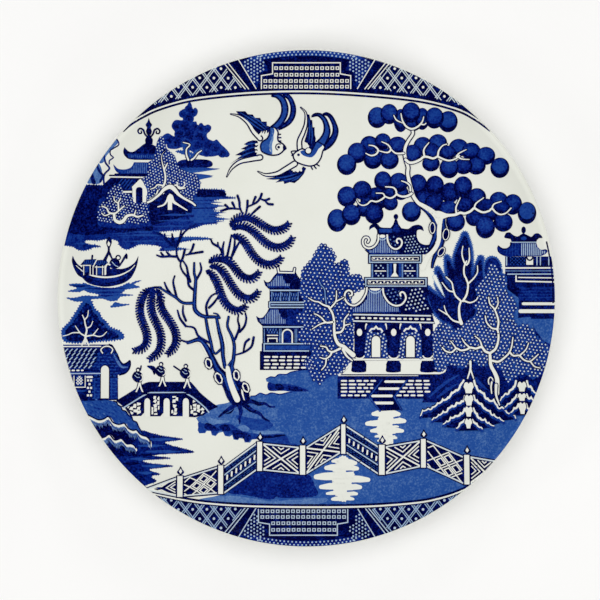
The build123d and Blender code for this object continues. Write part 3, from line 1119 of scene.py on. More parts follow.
def small_upper_storey(m):
    """Upper storey."""
    m.fill(box(-20, -1.6, -2, 5), NAVY)
    m.line([(-19.4, 4.3), (-3.6, 4.3)], 0.7, PALE, 2)
    for x0 in (-18.2, -13.4, -8.6):
        m.fill(box(x0, -1.4, x0 + 4, 3), BLUE, 1)
        for k in range(3):
            m.line([(x0 + k * 1.3, 3), (x0 + 1.3 + k * 1.3, -1.2)], 0.35, SKY, 2)
            m.line([(x0 + 1.3 + k * 1.3, 3), (x0 + k * 1.3, -1.2)], 0.35, NAVY, 3)
    for x in (-18.8, -14, -9.2, -4.6):
        m.line([(x, 3.4), (x, -1.3)], 0.5, SKY, 3)
    m.fill(box(-20.8, -5.2, -1.2, -1.5), NAVY, 1)
    m.line([(-1.6, -2.1), (-19.9, -2.1), (-19.9, -4.9), (-1.6, -4.9)], 0.6, PALE, 3)
    m.line([(-1.6, -3.4), (-18.9, -3.4)], 0.7, 0.22, 3)


def small_lower_roof(m):
    """Lower roof."""
    m.fill(np.vstack([[(-20.2, -5), (-1, -5), (-1, -14.8), (-24, -14.8)],
                      curve([(-26.4, -12.4), (-27.1, -9.6), (-25.6, -10.5), (-23.6, -10.2),
                             (-21.4, -7.6)])]), NAVY)
    tiled_slope(m,
                [(-19.6, -5.8), (-15.4, -5.8), (-14, -8.6), (-13.2, -10.4), (-10.8, -10.6), (-10.8, -14),
                 (-23.8, -14), (-26, -11.4), (-23.2, -10.8)])
    m.fill(box(-10.6, -14.4, -3, -6), COBALT, 1)


def small_ground_storey(m):
    """Ground storey."""
    m.fill(box(-23.8, -24.8, 2, -14.4), NAVY)
    m.line([(-23.2, -15.4), (-2, -15.4)], 0.75, PALE, 2)
    for x in (-22.8, -14.6, -13.8, -6.2, -5.4):
        m.line([(x, -16.6), (x, -23.6)], 0.45, SKY, 2)
    m.fill(box(-21.4, -19, -15.6, -16.2), BLUE, 1)
    for k in range(4):
        m.line([(-21.4 + 1.5 * k, -16.4), (-20 + 1.5 * k, -18.8)], 0.35, SKY, 2)
        m.line([(-20 + 1.5 * k, -16.4), (-21.4 + 1.5 * k, -18.8)], 0.35, NAVY, 3)
    m.line([(-21.2, -19.9), (-15.6, -19.9)], 0.55, BARE, 2)
    m.line([(-20.8, -23.4), (-20.8, -21.5), (-16, -21.5), (-16, -23.4)], 0.6, BARE, 2)
    arch = np.vstack([[(-13, -23.8)], arc(-10.4, -19.4, 2.6, 180, 0, ry=2.6), [(-7.8, -23.8)]])
    m.line(arch, 0.75, BARE, 2)
    m.fill(np.vstack([[(-12.3, -23.8)], arc(-10.4, -19.4, 1.9, 180, 0, ry=1.9), [(-8.5, -23.8)]])[::-1],
           COBALT, 2)


def small_terrace(m):
    """Terrace."""
    m.fill(np.array([(-24.2, -24.2), (4, -24.2), (4, -38.6), (-25.2, -38.6), (-25.2, -28.4),
                     (-24.2, -28.4)]), NAVY)
    m.line([(2, -24.4), (-22.9, -24.4), (-22.9, -28.3), (1, -28.3)], 0.65, PALE, 2)
    m.fill(box(-22, -27.6, 2, -25.4), BLUE, 1)
    for i, y in enumerate((-31.5, -33.4, -35.4, -37.3)):
        m.dashes((-23, y), (2.5, y), 3.1, 0.9, 0.95, seed=i)


# ---- The print: trees and hills on the right -------------------------------------------------

def left_lace_tree(m):
    """The dotted tree left of the large pagoda."""
    crown = curve([(8, 30), (5, 25.5), (4, 23), (1, 19), (-2, 16), (-3, 13), (-3, 8), (-4, 4), (-3, 1),
                   (-1.5, -2), (-1.5, -6), (-5, -9), (-5.5, -12.5), (-1.5, -14.5), (-4, -18), (-5, -20),
                   (-4.5, -23), (0.5, -24), (3, -26), (1.5, -28), (3.5, -30), (0, -32), (-1.6, -35),
                   (0, -38), (2, -42), (5, -45), (7.4, -46.2), (10, -43.6), (14, -41.6), (18, -40),
                   (22, -36), (24, -33), (25, -25), (25, -8), (24, -5)], step=1)
    top = curve([(31, 5.5), (30.5, 9), (28, 13), (24.5, 12), (22.5, 14), (22.5, 19), (20, 21.2), (17.5, 19),
                 (14.5, 18.5), (15.8, 21.5), (15, 24), (13, 26), (10.5, 28.5)], step=1)
    m.lace(ragged(np.vstack([crown, [(24, 2)], top]), 0.7, 2.2, 4), seed=5)
    branches = [([(25, -30.5), (22, -28), (20, -26), (17, -24.5), (15.3, -21), (14.8, -17), (14.7, -12),
                  (13.8, -8), (12, -5)], [2.6, 1.8, 1.4, 1.1, 0.9]),
                ([(12, -4.5), (9, -3.5), (6.5, -2), (4, -1.5), (1, 0.2)], [1.0, 0.5]),
                ([(13, -5), (15.5, -2), (16, 1), (16, 4)], [0.9, 0.5]),
                ([(15.5, -1.8), (20, 0.5)], [0.8, 0.4]),
                ([(16, -18.5), (18.5, -18), (20, -15.5), (20.3, -11.5), (22.5, -8.5)], [1.1, 0.6]),
                ([(20.5, -14.5), (23.5, -13.8)], [0.8, 0.4]),
                ([(14.3, -12.7), (10.5, -13), (8, -10.5), (5.5, -8.8), (4, -8.3)], [1.1, 0.5]),
                ([(10, -13), (7, -14), (3, -16.5)], [0.9, 0.4]),
                ([(18, -27), (14, -28.8), (11.5, -28), (10.5, -26.3), (7.5, -25.7)], [1.2, 0.6]),
                ([(13.5, -29), (12.5, -31), (10, -32.5), (7, -31.8)], [1.0, 0.5]),
                ([(10.5, -33), (10, -36), (8, -38.5)], [0.8, 0.5]),
                ([(19.5, -27.5), (21.5, -31), (24.5, -33.5)], [1.4, 0.7])]
    m.veins(branches, 0.45, 5)
    m.vein(curve([(10.5, -3), (10, 1), (9.5, 5), (7.5, 7.5), (6.5, 10)]), [0.8, 0.5], 0.4, SKY, 5)


def right_ground(m):
    """Ground and a dark bush behind."""
    ground = np.vstack([[(60, -40), (60, -43), (64, -52), (62, -56)], [(80, -56), (90, -50), (103, -58)],
                        [(110, -52), (125, -50), (131, -25), (126, -20)], [(100, -30), (70, -36)]])
    m.fill(ground, 0.9)
    for path in ([(66, -53), (71, -48.4), (76, -44.6), (82, -41)], [(70, -53.6), (75, -49.6), (81, -46)],
                 [(90, -42), (93, -45.6), (97, -49)]):
        m.stroke(path, [0.6, 1.8, 1.6, 0.4], 0.7, 1)
    cap = blob([(95.4, 12), (95.2, 17.5), (96.6, 21.4), (99.4, 22.8), (102.6, 21.6), (104.6, 18), (105, 13),
                (100, 11)])
    m.fill(ragged(cap[::-1], 0.5, 1.2, 2), WASH, 1)
    m.fill(ragged(move(cap - (100, 16), 100, 16, 0.84)[::-1], 0.5, 1.1, 3), 0.86, 2)


def right_crown(m):
    """Crown and branches."""
    crown = curve([(97, 13), (98, 17), (101, 18), (103, 15.6), (104, 14), (107.5, 11), (107, 7), (108, 3),
                   (110.5, 1.5), (112, -2), (113, -5), (111, -8), (111.5, -12), (113, -15), (117, -13.5),
                   (119.5, -16), (123, -20), (126.5, -23), (130, -26), (128.5, -31), (126, -38), (122, -43),
                   (119, -42), (115, -40), (108.5, -45), (106, -42), (103.5, -37), (99, -36), (95, -36.5),
                   (92, -36), (89, -33.5), (84, -38), (80, -36), (77, -35), (73.5, -39), (70, -38.5),
                   (68.5, -33), (68, -20), (71, -14), (74, -13), (78, -17), (83, -16), (86, -12),
                   (88.5, -11), (92, -8), (90, -5), (93, -2), (91, 3.5), (92.5, 7), (95, 10)], closed=True,
                  step=1)
    m.lace(ragged(crown[::-1], 0.8, 2.2, 6), 2.0, 52, 0.92, 0.45, 0.64, seed=8, layer=3)
    branches = [([(102, -51), (102.3, -44), (101, -40), (99, -36), (98.5, -30.5)], [2.6, 2.0, 1.4]),
                ([(98.5, -29.5), (96, -28.5), (94, -26.2), (91, -27), (88, -26.5), (86, -27.5), (83, -28),
                  (80.5, -27), (78, -29), (75, -28.5), (73, -26.5)], [1.3, 1.0, 0.7]),
                ([(94.3, -26), (93, -22.5), (90.5, -20.3)], [0.9, 0.5]),
                ([(87.5, -26.3), (85, -24), (83.5, -21.5)], [0.9, 0.5]),
                ([(80.5, -27), (77.5, -23)], [0.8, 0.5]),
                ([(98.5, -29.5), (101.5, -27), (103, -22), (102.5, -17), (99.5, -16), (96.8, -13),
                  (96, -9.5)], [1.3, 1.0, 0.6]),
                ([(102.5, -17), (103, -12), (101, -6), (98.5, -3), (97.8, 0.5)], [1.1, 0.6]),
                ([(101.3, -6), (102.8, -3), (102.6, 0.5)], [0.8, 0.5]),
                ([(99.5, -33.5), (103, -34), (106, -32), (108.5, -29.5), (110, -26), (110.7, -21)],
                 [1.2, 0.6]),
                ([(109, -29), (111, -30.8), (114, -30.7), (116.5, -33), (119.5, -33.8), (122, -32),
                  (124, -30)], [1.0, 0.6]), ([(120, -34), (122, -36.5), (125, -37.3)], [0.8, 0.5]),
                ([(114.5, -30.5), (117.5, -27.5), (119, -24)], [0.8, 0.5]),
                ([(88, -34), (88, -38), (86.5, -43)], [1.2, 0.7]),
                ([(88, -38), (89.7, -43)], [0.9, 0.6])]
    m.veins(branches, 0.45, 7)
    m.line(arc(98.8, -44.5, 1.2, ry=2.1), 0.6, BARE, 8, closed=True)


def ridge(m, left, right, column, foot, layer):
    """One hill: a dark body under a white crest, with a bare fall of water down its middle."""
    crest = [curve(side, step=0.5) for side in (left, right)]
    for side in crest:
        cusps = 1 - np.abs(np.sin(np.arange(len(side)) * 0.5 * math.pi / 3.4))
        side[:, 1] += 0.9 * cusps ** 2
    m.fill(np.vstack([crest[0][::-1], crest[1], foot]), NAVY, layer)
    for side in crest:
        m.line(side - (0, 1.1), 1.4, 0.72, layer + 1)
        m.line(side + (0, 0.7), 0.5, NAVY, layer + 1)
        m.line(side, [1.0, 1.1, 0.8, 0.5], BARE, layer + 2)
    x0, x1, top, low = column
    crown = curve([(x0 - 0.8, top - 2.4), (x0 - 0.2, top - 0.4), ((x0 + x1) / 2 - 0.9, top + 0.1),
                   ((x0 + x1) / 2, top - 0.7), ((x0 + x1) / 2 + 0.9, top + 0.1), (x1 + 0.2, top - 0.4),
                   (x1 + 0.8, top - 2.4)], step=0.6)
    fall = np.vstack([crown, [(x1, low + 2), (x1 - 0.3, low), (x0 + 0.4, low), (x0, low + 2)]])
    m.line(fall, 0.7, NAVY, layer + 2, closed=True)
    m.fill(fall, BARE, layer + 3)


def hills(m):
    """Crests with falls of water at the lake, and two stems behind them."""
    ridge(m, [(84.4, -45), (83.2, -45.8), (82.5, -47.6), (81, -49.6), (79, -50.5), (77.5, -52), (76, -54),
              (73.8, -54.8), (72, -56), (68.4, -58.5), (67, -59.6), (65, -60), (62.4, -61), (61.2, -63.4)],
          [(90, -45), (91, -47.5), (92.5, -50), (94.8, -51), (96, -53.5), (98, -55), (100.4, -55.3),
           (101.6, -57), (103, -59), (105.6, -59), (106.8, -60.8), (108.4, -61.8), (110.4, -62),
           (111.9, -64.2)], (85.1, 89.0, -45.2, -51.0), [(112.4, -64.8), (104, -65.6), (70, -64),
                                                         (61.6, -64.4)], 0)
    ridge(m, [(85, -53.4), (84, -55.4), (82.4, -56.4), (81, -56.4), (79.8, -57.8), (77.8, -58.5),
              (76.3, -59.2), (75.5, -60.8), (73, -61.8), (71.6, -62.8), (69.4, -64.2), (67.4, -65.4)],
          [(89.8, -53.2), (90.8, -55), (92.5, -56.3), (94.2, -57.6), (95.6, -59.6), (97.8, -60.5),
           (99.2, -62.4), (101.4, -63.6), (105.6, -65.9)],
          (85.5, 88.8, -52.0, -57.6), [(106, -66.3), (100, -67.8), (76, -67), (66.6, -66.3)], 4)
    ridge(m, [(84.8, -60.2), (83.4, -62), (81.6, -63.1), (79, -64.1), (77.4, -64.6), (76.4, -66),
              (73.4, -67.6)],
          [(89.6, -60), (91, -62), (92, -63.8), (93.6, -65.2), (95.6, -65.4), (97, -67), (100.4, -68.6)],
          (85.6, 88.4, -58.2, -63.5), [(100.6, -69), (94, -70), (82, -69.8), (72.8, -69.2)], 8)
    ridge(m, [(84.8, -66.2), (83, -66.8), (82, -68.5), (80.4, -70.2)],
          [(89, -66.2), (90.4, -67), (91.6, -68.4), (94.2, -70.2)],
          (85.6, 88.1, -64.6, -69.8), [(94.4, -70.8), (87, -71), (79.8, -71.2)], 12)
    ridge(m, [(112.2, -45.2), (111, -48.2), (109.4, -49.2), (108, -51.3), (106, -52), (103.8, -54.9)],
          [(118, -45.2), (119, -47.4), (120.6, -48.3), (121, -49.8), (124, -51.4)],
          (113.7, 117.0, -44.8, -49.9), [(123, -57), (108, -58.4), (103.4, -56.4)], 0)
    ridge(m, [(112.5, -52.7), (111, -54), (110, -55.5), (108, -57), (106.4, -58.3)],
          [(117.8, -52.3), (119, -53.7), (120.5, -53.8), (122, -55.6)],
          (113.7, 116.9, -51.0, -54.9), [(121, -60), (109, -61.4), (106, -59.2)], 4)
    ridge(m, [(113.4, -57.5), (112.2, -58.8), (110.8, -59.8), (109.3, -61.5)],
          [(117.5, -57.5), (118.5, -59), (120, -60)], (114.2, 116.8, -55.8, -61.9),
          [(119, -62.4), (114, -62.8), (109, -62.4)], 8)
    m.veins((([(99.4, -45), (99, -47.5), (99.3, -51)], [0.9, 0.6]),
             ([(101.7, -46.5), (101.7, -52), (103.4, -57.2)], [1.5, 1.1, 0.6])), 0.4, 14)


def broadleaf_trees(m):
    """The dark feathery trees beside the large pagoda, with pale stems."""
    lobes = [([(84.2, 12), (84, 20), (84.6, 27), (85, 31.4), (85, 34)], [9, 10.6, 10, 7.4, 3]),
             ([(84, 0), (80, 9), (77.4, 15), (75.4, 22)], [9, 7.6, 6, 2.2]),
             ([(80, -6), (75.6, 2), (72.4, 8), (70.4, 15.6)], [9, 8, 6.4, 2.4]),
             ([(84, -12), (76, -8), (69.6, -2), (64.8, 5)], [9, 11, 9, 3]),
             ([(86, -8), (90.4, 2), (92, 11), (93.6, 21.4)], [9, 10, 7.6, 2.6]),
             ([(82, -14.6), (84, -6), (85, 4), (84.4, 14)], [9, 15, 14, 9])]
    for spread, depth, tone, layer in ((1.5, 0.8, 0.4, 0), (0.3, 0.8, BLUE, 1), (-1.5, 0.7, 0.95, 2)):
        for i, (path, width) in enumerate(lobes):
            stem = curve(path)
            if spread < 0:
                stem = stem[:-2]
            outline = ribbon(stem, np.maximum(np.array(width) + spread, 0.6))[0]
            m.fill(ragged(outline[::-1], depth, 1.1, i), tone, layer)
    shade = blob([(68, -3), (74, -10), (82, -13), (90, -9), (92.4, 0), (92, 8), (86, 14), (78, 8), (73, 3)])
    m.stipple(shade, 2.4, COBALT, 3, turn=60)
    m.fill(ragged(ribbon(curve([(68.8, 11.6), (71.2, 6.6), (74.2, 0.6)]), [2.6, 2.4, 0.4])[0], 0.5, 1.0, 5),
           PALE, 3)
    m.stroke([(68.8, 11.6), (71, 7), (73.4, 2.4)], [1.8, 1.3, 0.3], BARE, 4)
    stems = [([(83.2, -13.5), (82.2, -10), (82, -5), (83, -1.5)], [1.8, 1.2, 1.0]),
             ([(82.5, -1), (80, 1.5), (78.8, 5), (78, 8.5), (75, 11.5)], [1.0, 0.6]),
             ([(78.8, 3.5), (76, 4.5), (72.8, 8.5)], [0.8, 0.5]),
             ([(84, -1.5), (86, 2), (86.8, 7), (86, 10), (84.7, 13), (84.7, 17), (86, 20)], [1.1, 0.8]),
             ([(87, 8), (90, 11), (91.8, 14), (91.8, 17.5)], [0.9, 0.5]),
             ([(85, -1.5), (88, -2.3), (91, -1), (92.5, 1.5)], [0.9, 0.5]),
             ([(83.5, -13.2), (79, -12), (76, -9), (74.5, -6), (74, -4)], [1.0, 0.5]),
             ([(75.5, -8.7), (71, -6)], [0.8, 0.4]),
             ([(84, 28), (83.5, 24), (84.5, 20), (86, 18), (87.5, 21), (87.3, 27)], [0.5, 0.9, 0.5])]
    m.veins(stems, 0.4, 5)


def tree_knot(m, x, y, rx, ry, turn, rings, rough=False):
    """A knot in a trunk: nested ovals, each given as how much it grows, its tone and its layer."""
    for grow, tone, layer in rings:
        oval = arc(0, 0, rx + grow, ry=ry + grow)
        if rough:
            oval = ragged(oval, 0.25, 2.4, 3)
        m.fill(move(oval, x, y, turn=turn), tone, layer)


# Fruit and leaf balls of the tall tree, from back to front: centre and half sizes
BALLS = [(57, 94.8, 4.8, 4.6), (44.8, 57.4, 4.6, 4.4), (39, 52.8, 4.4, 4.4), (33.4, 53.6, 4.4, 4.4),
         (62.4, 57.6, 4.6, 4.6), (70.6, 56.4, 4.4, 4.4), (42, 77.2, 4.4, 3.8),
         (90, 49, 4.2, 4.4), (98, 45.4, 4.2, 3.8), (84.4, 55.6, 4.2, 3.8), (50.6, 57, 4.0, 3.8),
         (62, 96.6, 3.7, 5.6), (50.5, 95.8, 3.6, 5.9), (37.9, 97.4, 4.9, 5.4), (44.3, 99.2, 4.5, 5.2),
         (75.8, 95, 4.9, 5.4), (68.5, 97, 4.8, 5.4), (56, 100, 4.8, 5.2),
         (33.7, 82.8, 4.7, 4.6), (40.9, 84.6, 4.2, 4.2), (48.8, 82.4, 5, 4.6), (62.4, 82, 4.8, 4.8),
         (70.4, 83.6, 4.8, 4.6), (81.5, 81, 5, 4.6), (88.2, 79, 4.8, 4.6), (96, 76.6, 4.8, 4.6),
         (103.5, 70.2, 4.8, 5.2), (91, 71.2, 4.8, 4.4), (84.2, 71.2, 4.6, 4.2), (76.5, 70.2, 4.9, 5.2),
         (75.6, 78.4, 4.4, 3.6), (66.8, 72.6, 4.5, 4), (67, 79, 4.2, 4.6), (56.8, 77.6, 4.7, 5),
         (27.2, 78.5, 5, 5.3), (44.5, 74.6, 4.8, 4.8), (35.6, 74.6, 4.7, 4.6), (21.5, 72.2, 5, 5.4),
         (49.5, 62.6, 4.9, 5), (41, 63.4, 4.5, 5), (37.4, 56.2, 4.6, 3.6), (29.8, 58.4, 4.9, 4.9),
         (21.7, 55, 5, 5.3), (59.8, 61.4, 4.7, 5.4), (69, 61, 4.6, 5), (77, 57, 4.7, 5.3),
         (84, 60.4, 4.7, 5.2), (103, 53, 4.6, 4.2), (110.5, 50.6, 4.7, 5.3), (118, 46, 4.7, 5.6),
         (91.4, 54.6, 4.7, 4.6), (16.3, 42.2, 5, 5.9), (31, 48.4, 4.3, 4.2), (24, 45.2, 4.9, 5.4),
         (36.3, 45.6, 4.8, 5.1), (45, 51.4, 3.9, 3.8), (63, 54, 4.3, 4.2), (56.3, 46.8, 4.9, 5.2),
         (68.5, 51.4, 4.8, 4.8), (85, 50.6, 4.5, 4.3), (76, 48.4, 4.9, 4.2), (96, 50, 5, 3.6),
         (104.4, 49, 4.5, 3.2), (80, 41.4, 4.9, 5), (90, 43.4, 4.3, 4.2), (105.5, 41, 4.8, 4.8),
         (96, 38.4, 4.9, 5.7)]


def fruit_balls(m):
    """Balls, each in front of those it overlaps."""
    levels = []
    for i, (x, y, rx, ry) in enumerate(BALLS):
        near = [j for j, ball in enumerate(BALLS) if math.hypot(x - ball[0], y - ball[1]) < 11]
        levels.append(1 + max((levels[j] for j in near if j < i), default=-1))
        shade = min(0.6 + 0.025 * len(near), 0.8)
        for share, tone, edge_tone, lift in ((1.05, NAVY, NAVY, 0), (0.85, shade, shade + 0.14, 0.4)):
            m.shapes = 0
            m.dot(x, y + (1 - share) * ry, rx * share, tone, 0.8 * levels[-1] + lift,
                  ry=ry * (share if share > 1 else 0.8), edge_tone=edge_tone)


def fruit_trunk(m):
    """Stem, trunk, bark and knots."""
    stem = curve([(56.6, 91), (57, 88.4), (54.8, 85), (53.1, 81.5), (52.7, 78), (53.4, 74), (54.5, 70.5),
                  (54.3, 67), (55.2, 62.6), (56.3, 58.6), (57.6, 54.6), (60.4, 51), (64, 49)])
    trunk = curve([(60.4, 51), (64, 49), (68, 46.2), (70.8, 43), (71.5, 40), (71.2, 36), (71.1, 32),
                   (70.2, 28.8), (68.2, 25.6), (65.6, 22.8), (63.9, 20), (62.4, 16.5)])
    bark = [([(61.4, 49), (64.5, 46.8), (67.4, 43.4), (69, 40), (69.3, 36.6), (68.9, 33), (67.6, 29.8),
              (66.2, 27.4)], [0.8, 1.8, 2.3, 2.2, 1.2]),
            ([(73.6, 43.6), (73.4, 40), (73.8, 37), (73.2, 33.6), (72.8, 31), (72, 28.4), (70.6, 25.6),
              (69.2, 23), (68.1, 20), (67.5, 16.8)], [1.4, 2.2, 2.4, 2.2, 1.6, 0.8])]
    for path, width in bark:
        m.stroke(path, np.array(width) + 0.6, NAVY, 15)
        m.stroke(path, np.array(width) * 0.5, 0.72, 17)
    m.vein(stem, [1.2, 1.5, 1.7, 1.8], 0.5, layer=17)
    m.line(trunk, [1.8, 2.8, 2.4, 2.2, 2.4, 3.0], BARE, 19)
    fork = [(62.5, 49.4), (64.4, 49.6), (67.2, 47.2), (71.6, 46.9), (75.2, 45.6), (78, 45.3), (76, 43.8),
            (73.4, 42.8), (72.6, 39.6), (70.4, 39.6), (68.4, 43.4), (66, 46.2)]
    m.fill(curve(fork, closed=True), BARE, 19)
    for knot in ((67.6, 37.8, 1.5, 3.0, 0), (74.9, 34.4, 1.7, 3.1, -8), (72.4, 25, 1.5, 2.6, -32)):
        tree_knot(m, *knot, ((0.6, NAVY, 19), (0.1, BARE, 20), (-0.35, NAVY, 21)))


def fruit_branches(m):
    """Curling branches over the balls."""
    scrolls = [([(50.6, 99.2), (51.4, 95.6), (53.4, 92.4), (56.4, 91), (59.6, 92.2), (62, 94.8),
                 (62.8, 97.4)], [0.5, 0.9, 1.0, 0.9, 0.5]),
               ([(46.8, 98.2), (48.2, 95.8), (51.4, 94.2)], [0.5, 0.7, 0.4]),
               ([(61.4, 93.6), (63, 93.2), (64, 94)], [0.8, 0.5]),
               ([(33.5, 82.4), (36.4, 81.8), (38.4, 79.8), (37.4, 77.6), (34.6, 76.8), (31.8, 78)],
                [0.5, 0.8, 0.9, 0.8, 0.5]),
               ([(40.4, 84.2), (43.6, 82.6), (45.2, 80.2), (43.4, 78.4), (38.6, 79.4)], [0.5, 0.9, 0.5]),
               ([(45.2, 80.2), (48, 78), (52.2, 78)], [0.7, 1.0]),
               ([(53.2, 74.6), (55.2, 73), (58, 73.2), (61, 74.6), (62.8, 76), (65, 76), (68, 75.2),
                 (70.2, 76.2)], [1.4, 1.2, 1.0]), ([(63.2, 76.4), (63, 80), (65.6, 83.6)], [1.0, 0.5]),
               ([(70.4, 76.2), (71, 79.4), (73, 82), (75.2, 82.8)], [1.0, 0.5]),
               ([(70.4, 76.2), (73.4, 74.8), (76.6, 74), (80, 75), (82, 76.6)], [1.0, 0.7]),
               ([(80.4, 76.2), (82, 78), (85.6, 79.8)], [0.9, 0.4]),
               ([(81, 76.4), (83, 74.9), (87.2, 74.5)], [0.9, 0.4]),
               ([(73.4, 43.6), (76, 44.5), (80, 45), (82.5, 46), (85, 45.6), (88, 46.8), (90, 48.4),
                 (92.5, 47), (95, 46.2), (98, 47), (99.5, 48.2), (101.5, 46.2), (104, 45), (107, 45.8),
                 (109.6, 48.4)], [1.5, 1.3, 1.1, 0.9, 0.6]),
               ([(80.5, 45.6), (80.3, 49), (82.5, 54)], [0.9, 0.5]),
               ([(90, 48.4), (91, 51), (95, 54)], [0.9, 0.5]),
               ([(99.5, 48.4), (100.6, 50.6), (104.4, 52)], [0.8, 0.5]),
               ([(56.5, 56.4), (54, 55), (51, 54.8), (48.5, 56), (48, 58), (46.4, 59.6), (42.4, 60)],
                [1.2, 1.0, 0.6]),
               ([(48.4, 56), (46.5, 54.4), (44.5, 53.9), (42, 55), (41, 56.4), (37.4, 56.6)],
                [1.0, 0.5]),
               ([(42, 54.6), (40, 53), (37.4, 52), (34.6, 52.4), (32.5, 50.6), (30, 50), (28, 51),
                 (26.8, 53)], [0.9, 0.8, 0.4]),
               ([(55.8, 58), (55.6, 60.2), (54, 62), (51, 63.2)], [1.0, 0.5])]
    m.veins(scrolls, 0.35, 19)


def right_pavilion_roofs(m):
    """Roofs."""
    m.dot(116.3, 36.6, 1.2, NAVY, 0, ry=1.9)
    m.fill(np.vstack([curve([(106, 33), (107, 35), (109, 35.4), (110.8, 34), (113, 33.2), (115, 34.3),
                             (116.3, 34.8), (118.5, 33.8), (120.5, 33), (122, 34.5), (124, 34.8),
                             (125.8, 33.4), (126.3, 32.3)], step=0.5),
                      [(124.4, 32.2), (123.4, 31.2), (123, 30.3), (110, 30.3), (109.4, 31.8),
                       (106.4, 32.4)]]), NAVY)
    m.dot(116.4, 32.2, 1.5, BLUE, 1, ry=1.0)
    m.line([(110, 30.1), (123, 30.1)], 0.45, PALE, 2)
    m.fill(np.vstack([[(123, 29.8), (109.5, 29.8)],
                      curve([(109.3, 28), (107.5, 26.5), (105, 26.5), (103, 28), (102.3, 27), (102.8, 25),
                             (104.5, 23.5), (107, 22.4)], step=0.5),
                      [(125.5, 22.6)], curve([(128, 23.8), (128.9, 25.2), (128, 26.3), (125.5, 26),
                                              (123.6, 27.6)], step=0.5)]), COBALT)
    m.stroke([(109.6, 29.8), (109.3, 28), (107.5, 26.6), (105, 26.6), (103, 28)], 0.6, NAVY, 2)
    m.hatch(np.array([(115, 22.8), (127.5, 23.2), (127.5, 25.4), (122.6, 27.6), (122.4, 29.6), (115, 29.6)]),
            1.0, 0.45, 90, PALE, 2)
    m.hatch(np.array([(104, 23.6), (114, 22.8), (114, 29.4), (110.2, 29.4), (109.4, 26.8), (106, 25.6)]),
            1.5, 0.3, 90, BLUE, 2)


def right_pavilion_walls(m):
    """Walls and terrace."""
    m.fill(box(106.6, 12, 133.5, 22.4), 0.93)
    m.fill(box(109.2, 17.9, 117, 22.2), BLUE, 1)
    m.crosshatch(box(109.2, 17.9, 117, 22.2), 1.3, 0.35, NAVY)
    m.fill(box(117.8, 18, 121.4, 22.2), BARE, 1)
    m.line(arc(119.6, 22.3, 1.6, 180, 360, ry=1.9), 0.6, NAVY, 2)
    for x in (107.4, 123.4, 125.2, 129.6):
        m.line([(x, 22.2), (x, 17.9)], 0.55, PALE, 2)
    for y, x0, width, tone in ((16.3, 105, 0.8, BARE), (14.7, 107, 0.4, SKY), (13, 108, 0.6, PALE)):
        m.line([(x0, y), (134, y)], width, tone, 3)
    m.fill(np.array([(107.6, 12.6), (134, 12.6), (134, -27), (124, -24), (120, -10), (113.4, -10.5),
                     (114, 0), (107.6, 5)]), 0.93, 0)
    m.line([(112.4, 12), (112.4, 9.2), (134, 8.7)], 0.75, BARE, 3)
    m.line([(113.8, 11.2), (134, 10.9)], 0.6, BARE, 3)
    m.fill(box(114, -1.2, 134, 6.2), COBALT, 1)
    m.hatch(box(114, -1.2, 134, 6.2), 1.7, 0.3, 0, BLUE, 2, 0.1)
    for y, x0, width in ((-2.9, 116.2, 1.5), (-6.9, 114.7, 2.0)):
        m.line([(x0, y), (134, y)], width, BARE, 3)
    m.fill(np.array([(120, -11), (134, -11), (134, -26), (127, -23), (122, -16)]), WASH, 1)
    m.line(arc(0, 0, 131.9, 13.2, -1, step=1.5), 0.6, NAVY, 4)


# ---- The print: birds, island and boat -------------------------------------------------------

def bird_plumes(m):
    """Plumes of both tails, each an outline and its tone."""
    plumes = [([(-19.6, 91.6), (-16.6, 94.4), (-14, 98), (-13.2, 102), (-14.2, 105.8), (-16.4, 108),
                (-18.6, 108.6), (-17.4, 109.6), (-14.4, 109.4), (-12, 107.4), (-10.4, 103.6), (-10.4, 99.6),
                (-11.8, 96), (-15.4, 91.6)], 0.62),
              ([(-12.6, 109), (-11, 109.8), (-8.2, 107.6), (-6.3, 103), (-6.4, 98.6), (-8.2, 95),
                (-11, 92.6), (-14.8, 90.9), (-13.6, 92.8), (-10.4, 95.4), (-8.6, 99), (-8.4, 103.4),
                (-10, 107.2)], 0.8),
              ([(3, 97.8), (4.6, 99.2), (7.6, 99), (10.2, 96.6), (11.8, 93), (12.4, 89.4), (11.4, 86),
                (8.8, 81.6), (4.6, 82.8), (7.4, 86), (9.2, 89.2), (9.5, 92.8), (8.4, 96), (6, 98.2)], 0.62),
              ([(8.8, 98.8), (10.8, 99.6), (13.4, 98), (15.6, 94), (16.7, 90), (15.6, 85.6), (12.6, 81.6),
                (8.8, 79.8), (11.4, 84.6), (13.6, 87.6), (14.4, 91), (13.6, 94.6), (11.4, 98.2)], 0.8)]
    for outline, tone in plumes:
        shape = blob(outline)
        m.fill(shape, tone)
        m.line(shape, 0.8, NAVY, 1, closed=True)


